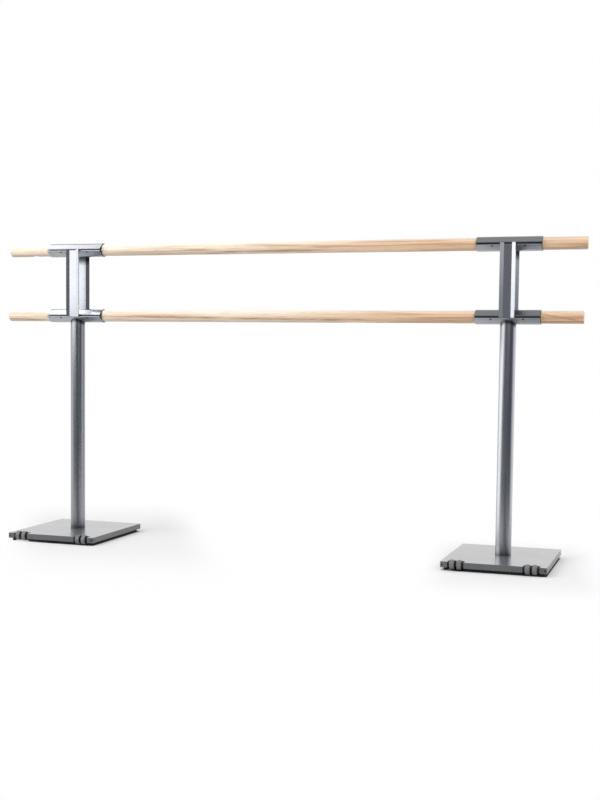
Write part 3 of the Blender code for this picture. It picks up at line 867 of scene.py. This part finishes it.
def makeClampScrews():
    low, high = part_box("left_upper_screw_1")
    height = middleOf("upper_bar").z
    tip, foot = high.z - height, low.z - height
    seat = foot + clampScrew["headHeight"]
    head, shank = (high.x - low.x) / 2, clampScrew["shank"]
    rim, steps = clampScrew["rim"]
    inward, down = clampScrew["tipBreak"]
    profile = [(0, tip), (shank - inward, tip)]
    profile += threaded(shank, tip - down, seat, clampScrew["threadPitch"])
    profile += [(shank, seat), (head - rim, seat), (head, seat - rim)]
    profile += arc((head - rim, foot + rim), rim, 0, -quarterTurn, steps) + [(0, foot)]
    blank = turned("clampScrewBlank", profile, clampScrew["facets"])
    socket = socketCutter("clampScrewSocket", clampScrew["socket"], clampScrew["socketDepth"])
    mesh = worked("clampScrew", blank, [(socket, (0, 0, foot))])
    for stand in stands:
        for level in levels:
            for number in range(1, 5):
                node = f"{stand}_{level}_screw_{number}"
                newPiece(node, mesh, blackFinish, over(node, middleOf(level + "_bar").z))


makeClampScrews()
print("clamp screws made")


# posts: channels between the clamps

post = {
    "webWidth": 0.0246,
    "thickness": 0.0035,
    "flare": math.radians(20),
    "outerBend": (0.0012, 5),
    "innerBend": (0.0008, 5),
    "horn": 0.0045,
    "hornRound": (0.003, 8),
    "edge": 0.0004,
    "paintedShadeReach": (0.032, 0.006),  # the reach of the painted shade, down from the upper clamp
}


def fromBarAxis(tree, level):
    # height above the axis of a bar, and distance in front of or behind it
    at = axes(objectSpace(tree))
    return minus(at["Z"], middleOf(level + "_bar").z), offBy(at["Y"])


def postPaintedShade(tree):
    # painted shade on the inner sides of the posts, under the upper clamp
    up = fromBarAxis(tree, "upper")[0]
    near = ranged(up, *(-sleeveRadius - part for part in post["paintedShadeReach"]))
    return times(near, ranged(localNormal(tree)["Y"], 0.2, 0.6))


def makePosts():
    low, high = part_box("left_front_post")
    half, bend, thickness = (high.x - low.x) / 2, post["webWidth"] / 2, post["thickness"]
    sine, cosine = math.sin(post["flare"]), math.cos(post["flare"])
    back = high.y - columnLine
    face = back - thickness
    tip = half - thickness * sine
    tipDepth = face - (tip - bend) * sine / cosine
    right = [
        (bend, face, post["innerBend"]),
        (tip, tipDepth, sharp),
        (half, tipDepth + thickness * cosine, sharp),
        (bend + thickness * math.tan(post["flare"] / 2), back, post["outerBend"]),
    ]
    webTop = high.z - post["horn"]
    mesh = extruded("post", filleted(right + flipped(right)), 2 * (webTop - low.z))
    mesh.transform(Matrix.Translation((0, 0, (low.z + webTop) / 2)))
    # cut to its outline as seen from the front, with a horn on each side
    rounding, steps = post["hornRound"]
    right = [(half + spare, low.z), (half + spare, high.z - rounding - spare)]
    right += arc((half - rounding, high.z - rounding), rounding, 0, quarterTurn, steps)
    right += [(bend, high.z), (bend, webTop)]
    blank = extruded("postBlank", right + flipped(right), throughAll, alongY)
    mesh = worked("post", mesh, [(blank, (0, 0, 0))], operation="INTERSECT")
    mesh = worked("post", mesh, edge=post["edge"], sharperThan=45, segments=2)
    finish = makeSatinAluminium("postMetal", grainAlongZ, postPaintedShade), "column_metal"
    for stand in stands:
        for where, turn in (("front", 0), ("rear", halfTurn)):
            newPiece(f"{stand}_{where}_post", mesh, finish, over(f"{stand}_column", 0), (0, 0, turn))


makePosts()
print("posts made")


# columns: round tube, coped at the top to the underside of the lower clamp

column = {
    "wall": 0.003,
    "facets": 128,
    "fit": 0.0003,
    "footEdge": 0.0004,
    "copeSteps": 40,
    "paintedShadeReach": (0.013, 0.003),  # the reach of the painted shade, from the clamp
    "footShadeReach": (0.020, 0.001),  # and of the painted shade and reflection at the foot, where it is fainter
    "footShadeShare": 0.6,
}
# painted shade: the posts' satin aluminium, painted darker on the columns
columnLook = dict(satinAluminium, color=(0.335, 0.347, 0.372, 1), shade=(0.295, 0.307, 0.33, 1))


def saddlePaintedShade(tree):
    # painted shade on the column, in a band that follows the underside of the lower clamp
    up, aside = fromBarAxis(tree, "lower")
    cosine, sine = math.cos(flank), math.sin(flank)
    fromFlank = minus(times(aside, cosine), times(up, sine))
    byFlank = calc("GREATER_THAN", plus(times(aside, sine), times(up, cosine)), 0.0)
    fromSleeve = times(radial(up, aside), minus(1.0, byFlank))
    gap = plus(times(fromFlank, byFlank), fromSleeve)
    tint = ranged(gap, *(sleeveRadius + part for part in column["paintedShadeReach"]))
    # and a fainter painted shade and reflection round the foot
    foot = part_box("left_column")[0].z - middleOf("lower_bar").z
    atFoot = ranged(up, *(foot + part for part in column["footShadeReach"]), 0.0, column["footShadeShare"])
    return highest(tint, atFoot)


def makeColumns():
    low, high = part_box("left_column")
    outer = (high.x - low.x) / 2
    inner, edge = outer - column["wall"], column["footEdge"]
    profile = [(outer, high.z), (outer, low.z + edge), (outer - edge, low.z)]
    profile += [(inner, low.z), (inner, high.z)]
    tube = turned("column", profile, column["facets"], closed=True)
    across, radius = clampReach + column["fit"], sleeveRadius + column["fit"]
    side = [(across, sleeveRadius), (across, -flankHeight(across, radius))]
    under = arc((0, 0), radius, -flank, flank - halfTurn, column["copeSteps"])
    cutter = extruded("cope", side + under + flipped(side), throughAll, alongX)
    mesh = worked("column", tube, [(cutter, (0, 0, middleOf("lower_bar").z))])
    finish = makeSatinAluminium("columnMetal", grainAlongZ, saddlePaintedShade, columnLook), "column_metal"
    for stand in stands:
        node = f"{stand}_column"
        newPiece(node, mesh, finish, over(node, 0))


makeColumns()
print("columns made")


# base plates, painted dark grey, on rubber pads

base = {
    "cornerRound": (0.0025, 6),
    "edge": 0.0008,
    "rollerPairToSide": 0.047,
    "notchHalf": 0.02485,
    "notchCorner": (0.003, 5),
    "axleSetback": 0.010,
    "rollerRadius": 0.0155,
    "notchClearance": 0.0015,
    "axleHole": 0.0043,  # the radius of this and the other holes
    "axleLength": 0.091,
    "screwHole": 0.0023,
    "screwHoleDepth": 0.01,
    "screwToSide": 0.0045,
    "boltHole": 0.0063,
    "boltHead": 0.0093,
    "boltHeadDepth": 0.0085,
    "padInset": 0.008,
    "padCorner": (0.009, 6),
    "padNotchMargin": 0.002,
    "padEdge": 0.0007,
    "maskMargin": 0.0003,
    "frontLip": 0.0005,  # of the notches, which is painted like the front
    "bareRing": (0.0008, 0.004),  # the painted shade round each headless screw: its width, and how far in it goes
}
plateMiddle = middleOf("left_base_plate")
plateHalf, plateDepthHalf, plateThickness = sizeOf("left_base_plate") * Vector((0.5, 0.5, 1))
plateFront = plateMiddle.y - plateDepthHalf - columnLine
plateRear = plateMiddle.y + plateDepthHalf - columnLine
pairCentre = plateHalf - base["rollerPairToSide"]
axleLine = plateFront + base["axleSetback"]
notchRear = axleLine + base["rollerRadius"] + base["notchClearance"]


platePaint = {
    "color": (0.105, 0.109, 0.117, 1),
    "flake": (0.20, 0.205, 0.22, 1),
    "smudge": (0.08, 0.083, 0.09, 1),
    "smudges": 0.14,
    "bareEdge": (0.34, 0.34, 0.35, 1),
    "dust": (0.40, 0.39, 0.38, 1),
    # the colour of the painted shade in the notches and round the headless screws
    "paintedShadeColor": (0.02, 0.02, 0.022, 1),
    "flakeScale": 2600.0,
    "handling": {"Scale": 11.0, "Contrast": 0.8},
    "edgeWear": {"Width": 0.0012, "Amount": 0.7, "Scale": 320.0},
    "settledDust": {"Amount": 0.22, "Scale": 30.0},
    "metallic": 0.2,
    "roughness": 0.30,
    "coat": 1.0,
    "edgeCoat": 0.25,
    "coatRoughness": 0.18,
    "orangePeelScale": 420.0,
    "bump": (0.12, 0.00004),
}


def notchAndRingShade(tree):
    # painted shade on the sides of the roller notches
    at = axes(objectSpace(tree))
    beside = offBy(at["X"])
    within = below(offBy(beside, pairCentre), base["notchHalf"] + base["maskMargin"])
    within = times(within, below(at["Y"], notchRear + base["maskMargin"]))
    behind = calc("GREATER_THAN", at["Y"], plateFront + base["frontLip"])
    upright = below(offBy(localNormal(tree)["Z"]), 0.5)
    # and a ring of painted shade round each headless screw
    offset = radial(minus(beside, plateHalf - base["screwToSide"]), at["Z"])
    width, depth = base["bareRing"]
    ring = below(offset, base["screwHole"] + width)
    ring = times(ring, below(at["Y"], plateFront + depth))
    return highest(times(within, behind, upright), ring)


def makePlatePaint(look=platePaint):
    # dark-grey satin paint on steel under a clear coat: fine flake, a slight orange peel, dust on top
    material, tree, shader = newMaterial("platePaint")
    own = pieceSpace(tree)
    flake = put(tree, "TexVoronoi", {"Vector": own, "Scale": look["flakeScale"]})["Color"]
    flake = put(tree, "SeparateColor", {"Color": flake})["Red"]
    smudge, wear = touched(tree, look)
    dust = place(tree, settledDust, look)["Mask"]
    rough = calc("MULTIPLY_ADD", flake, 0.06, look["roughness"])
    level = offBy(localNormal(tree)["Z"])
    feed(shader, {
        "Base Color": layered(
            look["color"],
            (ranged(flake, 0.72, 1.0), look["flake"]),
            (times(smudge, look["smudges"]), look["smudge"]),
            (wear, look["bareEdge"]),
            (dust, look["dust"]),
            (notchAndRingShade(tree), look["paintedShadeColor"]),
        ),
        "Metallic": times(minus(1.0, dust), look["metallic"]),
        "Roughness": plus(rough, times(smudge, 0.05), times(dust, 0.25)),
        "Coat Weight": ranged(level, 0.3, 0.8, look["edgeCoat"], look["coat"]),
        "Coat Roughness": look["coatRoughness"],
        "Normal": bumped(noise(own, look["orangePeelScale"]), *look["bump"]),
    })
    return material


padRubber = {
    "color": (0.009, 0.009, 0.0095, 1),
    "worn": (0.035, 0.034, 0.033, 1),
    "mouldedGrain": {"Scale": 1500.0, "Unevenness": 0.6},
    "handling": {"Scale": 16.0, "Contrast": 1.2},
    "edgeWear": {"Width": 0.0015, "Amount": 0.8, "Scale": 140.0},
    "roughness": 0.72,
    "bump": (0.6, 0.00015),
}


def makePadRubber(look=padRubber):
    material, tree, shader = newMaterial("padRubber")
    skin = place(tree, mouldedGrain, look)
    smudge, wear = touched(tree, look)
    chalk = highest(wear, times(smudge, 0.3))
    feed(shader, {
        "Base Color": layered(look["color"], (chalk, look["worn"])),
        "Roughness": calc("MULTIPLY_ADD", skin["Tone"], 0.15, look["roughness"]),
        "Normal": bumped(skin["Height"], *look["bump"]),
    })
    return material


def baseOutline(inset, corner, margin):
    half, depth, rounding = base["notchHalf"] + margin, notchRear + margin, base["notchCorner"]
    side, front, rear = plateHalf - inset, plateFront + inset, plateRear - inset
    corners = [(side, rear, corner), (-side, rear, corner), (-side, front, corner)]
    for centre in (-pairCentre, pairCentre):
        corners += [(centre - half, front, sharp), (centre - half, depth, rounding)]
        corners += [(centre + half, depth, rounding), (centre + half, front, sharp)]
    return filleted(corners + [(side, front, corner)])


def makeBases():
    plate = extruded("plate", baseOutline(0, base["cornerRound"], 0), plateThickness)
    plate = worked("plate", plate, edge=base["edge"], sharperThan=60)
    rod = drill(base["axleLength"], (base["axleHole"], -base["axleLength"]))
    rod.transform(axisToX)
    tapped = drill(base["screwHoleDepth"], (base["screwHole"], -base["screwHoleDepth"]), facets=32)
    tapped.transform(alongY)
    seat = base["boltHeadDepth"] - plateThickness / 2
    seated = drill(plateThickness, (base["boltHole"], seat), (base["boltHead"], -plateThickness))
    cuts = [(seated, (0, 0, 0))]
    for side in (-1, 1):
        cuts.append((rod, (side * plateHalf, axleLine, 0)))
        cuts.append((tapped, (side * (plateHalf - base["screwToSide"]), plateFront, 0)))
    plate = worked("basePlate", plate, cuts)
    padOutline = baseOutline(base["padInset"], base["padCorner"], base["padNotchMargin"])
    pad = extruded("pad", padOutline, sizeOf("left_base_pad").z)
    pad = worked("basePad", pad, edge=base["padEdge"], sharperThan=60)
    painted, rubbery = (makePlatePaint(), "plate_metal"), (makePadRubber(), "rubber")
    for stand in stands:
        for half, mesh, finish in (("plate", plate, painted), ("pad", pad, rubbery)):
            node = f"{stand}_base_{half}"
            newPiece(node, mesh, finish, over(f"{stand}_column", middleOf(node).z))


makeBases()
print("base plates and pads made")


# rollers

roller = {
    "hub": 0.00725,  # radius
    "bore": 0.0043,
    "shoulder": (0.003, 8),
    "crown": 0.0005,
    "space": 0.0059,  # between the two rollers of a pair, which their long hubs fill
    "fit": 0.0003,
    "partingLine": (0.00012, 0.0002),  # its depth and half its width
    "faceRecess": 0.0007,
    "faceBorder": 0.0012,
    "boreBreak": 0.0003,
    "hubBreak": 0.0004,
    "facets": 72,
}

rollerTread = {
    "color": (0.15, 0.153, 0.16, 1),
    "shade": (0.11, 0.112, 0.118, 1),
    "scuffed": (0.25, 0.25, 0.255, 1),
    # painted shade: the colour of the roller's sides and hub
    "side": (0.012, 0.012, 0.013, 1),
    "scuffedFrom": (0.0148, 0.0154),  # radii between which the scuffs, and the painted shade of the hub, set in
    "hubUpTo": (0.0118, 0.0108),
    "mouldedGrain": {"Scale": 2600.0, "Unevenness": 0.5},
    "handling": {"Scale": 60.0, "Contrast": 0.8},
    "edgeWear": {"Width": 0.0010, "Amount": 0.7, "Scale": 500.0},
    "roughness": 0.3,
    "bump": (0.5, 0.00006),
}


def makeRollerTread(look=rollerTread):
    # grey moulded tyre, scuffed where it meets the floor, with painted shade on its sides and hub
    material, tree, shader = newMaterial("rollerTread")
    skin = place(tree, mouldedGrain, look)
    smudge, wear = touched(tree, look)
    at = axes(objectSpace(tree))
    reach = radial(at["X"], at["Y"])
    scuff = highest(times(ranged(reach, *look["scuffedFrom"]), smudge, 0.5), wear)
    # painted shade on the roller's sides
    side = ranged(offBy(localNormal(tree)["Z"]), 0.6, 0.95)
    feed(shader, {
        "Base Color": layered(
            look["color"],
            (ranged(skin["Tone"], 0.3, 0.7, 0.0, 0.5), look["shade"]),
            (scuff, look["scuffed"]),
            (highest(side, ranged(reach, *look["hubUpTo"])), look["side"]),
        ),
        "Roughness": calc("MULTIPLY_ADD", scuff, 0.25, look["roughness"]),
        "Normal": bumped(skin["Height"], *look["bump"]),
    })
    return material


def makeRollers():
    size = sizeOf("left_left_roller_left")
    rim, hub, bore = size.z / 2, roller["hub"], roller["bore"]
    longHub = roller["space"] - roller["fit"]
    half = (size.x - longHub - longHub / 2) / 2
    longEnd, shortEnd = half + longHub, half + longHub / 2
    (shoulder, steps), edge = roller["shoulder"], rim - roller["crown"]
    recess, web = roller["faceRecess"], rim - shoulder - roller["faceBorder"]
    tread = arc((edge - shoulder, half - shoulder), shoulder, quarterTurn, 0, steps)
    # the tread swells a little towards its middle, where the mould parted
    for share in (0.25, 0.5, 0.75, 0.9):
        swell = roller["crown"] * math.sin(share * quarterTurn)
        tread.append((edge + swell, (half - shoulder) * (1 - share)))
    depth, halfWidth = roller["partingLine"]
    tread.append((rim - depth, halfWidth))
    face = [(web, half), (web - recess, half - recess), (hub + recess, half - recess), (hub, half)]

    def hubEnd(end):
        inner, outer = roller["boreBreak"], roller["hubBreak"]
        return [(bore, end - inner), (bore + inner, end), (hub - outer, end), (hub, end - outer)]

    profile = hubEnd(longEnd) + face[::-1] + tread + mirrored(tread)
    profile += mirrored(face[::-1]) + mirrored(hubEnd(shortEnd))
    mesh = turned("roller", profile, roller["facets"], closed=True)
    finish = makeRollerTread(), "roller_plastic"
    for stand in stands:
        for side in sides:
            spot = middleOf(f"{stand}_{side}_axle")
            for hand, direction in (("left", -1), ("right", 1)):
                node = f"{stand}_{side}_roller_{hand}"
                low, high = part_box(node)
                spot.x = high.x - shortEnd if direction < 0 else low.x + shortEnd
                newPiece(node, mesh, finish, spot, (0, direction * quarterTurn, 0), body=node)


makeRollers()
print("rollers made")


# axles, and the headless screws that hold them

axle = {"endBreak": 0.0006, "facets": 48}
axleScrew = {
    "tipBreak": (0.0008, 0.0006),  # off its radius and its length
    "threadRun": (0.0002, 0.0001),  # and from there to the first thread
    "mouthBreak": (0.0003, 0.0005),
    "socket": 0.002,
    "socketDepth": 0.002,
    "facets": 32,
    "threadPitch": 0.0007,
}


def makeAxles():
    size = sizeOf("left_left_axle")
    radius, half, edge = size.z / 2, size.x / 2, axle["endBreak"]
    end = [(0, half), (radius - edge, half), (radius, half - edge)]
    mesh = turned("axle", end + mirrored(end), axle["facets"])
    mesh.transform(axisToX)
    screwSize = sizeOf("left_left_axle_screw")
    radius, half = screwSize.x / 2, screwSize.y / 2
    inward, down = axleScrew["tipBreak"]
    less, run = axleScrew["threadRun"]
    profile = [(0, half), (radius - inward, half), (radius - less, half - down)]
    inward, up = axleScrew["mouthBreak"]
    profile += threaded(radius, half - down - run, up - half, axleScrew["threadPitch"])
    profile += [(radius - inward, -half), (0, -half)]
    screw = turned("axleScrewBlank", profile, axleScrew["facets"])
    socket = socketCutter("axleScrewSocket", axleScrew["socket"], axleScrew["socketDepth"])
    screw = worked("axleScrew", screw, [(socket, (0, 0, -half))])
    screw.transform(Matrix.Rotation(-quarterTurn, 4, "X"))
    finish = makeFastenerSteel("axleSteel"), "steel"
    for stand in stands:
        for side in sides:
            node = f"{stand}_{side}_axle"
            newPiece(node, mesh, finish)
            newPiece(node + "_screw", screw, blackFinish)


makeAxles()
print("axles made")


# the foot plug and the bolt are inside, and keep their CAD shapes
bareSteel = makeFastenerSteel("bareSteel")
for stand in stands:
    for inside in ("column_plug", "column_bolt"):
        mesh = nodes[f"{stand}_{inside}"].data
        mesh.materials.clear()
        mesh.materials.append(bareSteel)
print("inner steel finished")


# floor, backdrop and light

studio = {
    "floorHalf": (1.75, 1.0),  # the sheet ends where it has faded to the white of the backdrop
    "paper": (0.765, 0.765, 0.77, 1),
    "paperBump": (0.05, 0.0002),
    "paperBounce": (0.52, 0.52, 0.52, 1),  # how bright the paper is for the light it throws back up
    "paperUnder": (0.06, 0.06, 0.062, 1),  # and under the plates, in their shadow
    "shadowInset": 0.001,
    # dark cards with soft edges on the floor, beside and before the stands, seen only in the metal
    "cards": {"aside": 0.3, "width": (0.36, 0.2), "nearerThan": (-0.14, -0.26), "light": 0.4},
    "front": (0.165, 0.168, 0.197, 1),  # what the metal shows: the dark bluish front of the studio
    "fill": (0.5, 0.5, 0.5, 1),  # the even light from all round
}

walls = [
    # the rest of what the metal shows: along which axis each part sets in, from where to where, its color
    ("X", 0.35, -0.05, (0.25, 0.253, 0.284, 1)),  # the front is a little paler towards the left
    ("Y", 0.42, 0.88, (1.03, 1.03, 1.03, 1)),  # the back
    ("X", -0.55, -0.95, (1.1, 1.1, 1.1, 1)),  # the left side
    ("Z", 0.55, 0.92, (0.5, 0.5, 0.5, 1)),  # the ceiling
]

# the grey pool of floor round each stand, across and along the line of sight from its middle:
# where its middle lies, how far it stays grey, and from where the paper is white
pools = {
    "left": {"across": (0.11, 0.20, 0.37), "along": (-0.12, 0.1, 1.05)},
    "right": {"across": (0.03, 0.17, 0.29), "along": (-0.05, 0.22, 0.56)},
}

lamps = {
    # name: (place, aimed at, width, height, watts, spread in degrees, what it is for)
    "keyLeft": ((-1.9, -2.1, 2.6), (-0.4, 0.0, 0.8), 1.6, 1.6, 35, 180, "light"),
    "frontRight": ((2.0, -3.0, 1.8), (0.7, 0.0, 0.7), 1.6, 1.6, 30, 180, "light"),
    "overhead": ((0.0, 0.2, 2.6), (0.0, 0.2, 0.0), 3.2, 1.8, 25, 180, "light"),
    "fillRight": ((2.5, 0.7, 1.5), (0.9, 0.0, 0.0), 1.2, 1.2, 11, 180, "light"),
    "windowRight": ((2.0, -3.0, 1.85), (0.764, 0.0, 1.3), 1.6, 1.7, 9.5, 180, "both"),
    "sideLeft": ((-1.54, -1.51, 1.19), (0.764, -0.31, 1.19), 2.12, 0.96, 14.5, 180, "both"),
    "sideRight": ((1.55, 0.45, 0.75), (0.764, 0.0, 0.7), 1.0, 1.7, 2.5, 120, "both"),
    "betweenStands": ((0.2, -0.05, 0.35), (0.764, -0.05, 0.35), 0.6, 0.66, 1.8, 180, "shine"),
    "aboveLeft": ((-1.42, 0.14, 2.05), (-0.74, 0.0, 0.9), 0.7, 0.9, 4.8, 180, "shine"),
    "behindLeft": ((-0.86, 0.08, 0.98), (-0.74, -0.005, 0.775), 0.3, 0.05, 0.15, 180, "shine"),
    # a small one for the flank of the left lower cap, which would mirror the dark post otherwise
    "overLeftCap": ((-0.66, -0.0145, 0.8085), (-0.66, -0.0219, 0.784), 0.045, 0.02, 0.009, 180, "shine"),
}


def floorMasks(at, stand):
    # where the paper is grey round a stand, where its plate stands, and where a dark card lies
    foot = middleOf(f"{stand}_column")
    toCamera = Vector((camera["place"][0] - foot.x, camera["place"][1] - foot.y, 0)).normalized()
    fromFoot = vectorCalc("SUBTRACT", at, (foot.x, foot.y, 0))
    inPool = []
    for name, direction in (("across", (-toCamera.y, toCamera.x, 0)), ("along", -toCamera)):
        middle, grey, white = pools[stand][name]
        offset = vectorCalc("DOT_PRODUCT", fromFoot, direction, output="Value")
        inPool.append(ranged(offBy(offset, middle), white, grey))
    local = axes(fromFoot)
    middle = middleOf(f"{stand}_base_plate").y - foot.y
    # painted shadow: the paper under each plate
    under = times(below(offBy(local["X"]), plateHalf - studio["shadowInset"]),
                  below(offBy(local["Y"], middle), plateDepthHalf - studio["shadowInset"]))
    cards = studio["cards"]
    card = times(ranged(offBy(local["X"], cards["aside"]), *cards["width"]),
                 ranged(local["Y"], *cards["nearerThan"]))
    return times(*inPool), under, card


def makeFloor():
    work = bmesh.new()
    across, deep = studio["floorHalf"]
    corners = ((-across, -deep, 0), (across, -deep, 0), (across, deep, 0), (-across, deep, 0))
    work.faces.new([work.verts.new(corner) for corner in corners])
    mesh = meshFrom("studioFloor", work)
    obj = added("studioFloor", mesh)
    material, tree, shader = newMaterial("paperFloor")
    at = objectSpace(tree)
    fibre = noise(at, 240.0, 3.0, 0.6)
    paper = layered(dimmed(studio["paper"], 0.985), (fibre, studio["paper"]))
    path = put(tree, "LightPath")
    seen = highest(path["Is Camera Ray"], path["Is Glossy Ray"], path["Is Transmission Ray"])
    masks = zip(*(floorMasks(at, stand) for stand in stands))
    grey, under, card = (highest(*pair) for pair in masks)
    feed(shader, {
        "Base Color": layered(studio["paperBounce"], (seen, paper), (under, studio["paperUnder"])),
        "Roughness": 0.8,
        "Specular IOR Level": 0.2,
        "Normal": bumped(fibre, *studio["paperBump"]),
    })
    card = times(card, path["Is Glossy Ray"])
    shine = ranged(card, 0.0, 1.0, 1.0, studio["cards"]["light"], smooth=False)
    white = put(tree, "Emission", {"Color": (1, 1, 1, 1), "Strength": shine})[0]
    share = times(highest(minus(1.0, grey), card), seen)
    matte = tree.nodes["Principled BSDF"].outputs[0]
    surface = put(tree, "MixShader", {"Fac": share, 1: matte, 2: white})[0]
    feed(tree.nodes["Material Output"].inputs, {"Surface": surface})
    mesh.materials.append(material)


def makeWorld():
    world = bpy.data.worlds.new("studio")
    world.use_nodes = True
    bpy.context.scene.world = world
    tree = world.node_tree
    toward = axes(put(tree, "TexCoord")["Generated"])
    parts = ((ranged(toward[axis], start, end), color) for axis, start, end, color in walls)
    room = layered(studio["front"], *parts)
    path = put(tree, "LightPath")
    shown = layered(room, (path["Is Diffuse Ray"], studio["fill"]), (path["Is Camera Ray"], (1, 1, 1, 1)))
    feed(tree.nodes["Background"].inputs, {"Color": shown})


def makeLamps():
    for name, (spot, target, width, height, watts, spread, use) in lamps.items():
        data = bpy.data.lights.new(name, "AREA")
        data.shape = "RECTANGLE"
        data.size = width
        data.size_y = height
        data.energy = watts
        data.spread = math.radians(spread)
        obj = added(name, data)
        obj.location = spot
        obj.rotation_euler = (Vector(target) - Vector(spot)).to_track_quat("-Z", "Y").to_euler()
        obj.visible_camera = False
        obj.visible_glossy = use != "light"
        obj.visible_diffuse = use != "shine"


makeFloor()
makeWorld()
makeLamps()
bpy.context.scene.view_settings.view_transform = "Standard"
print("studio ready")
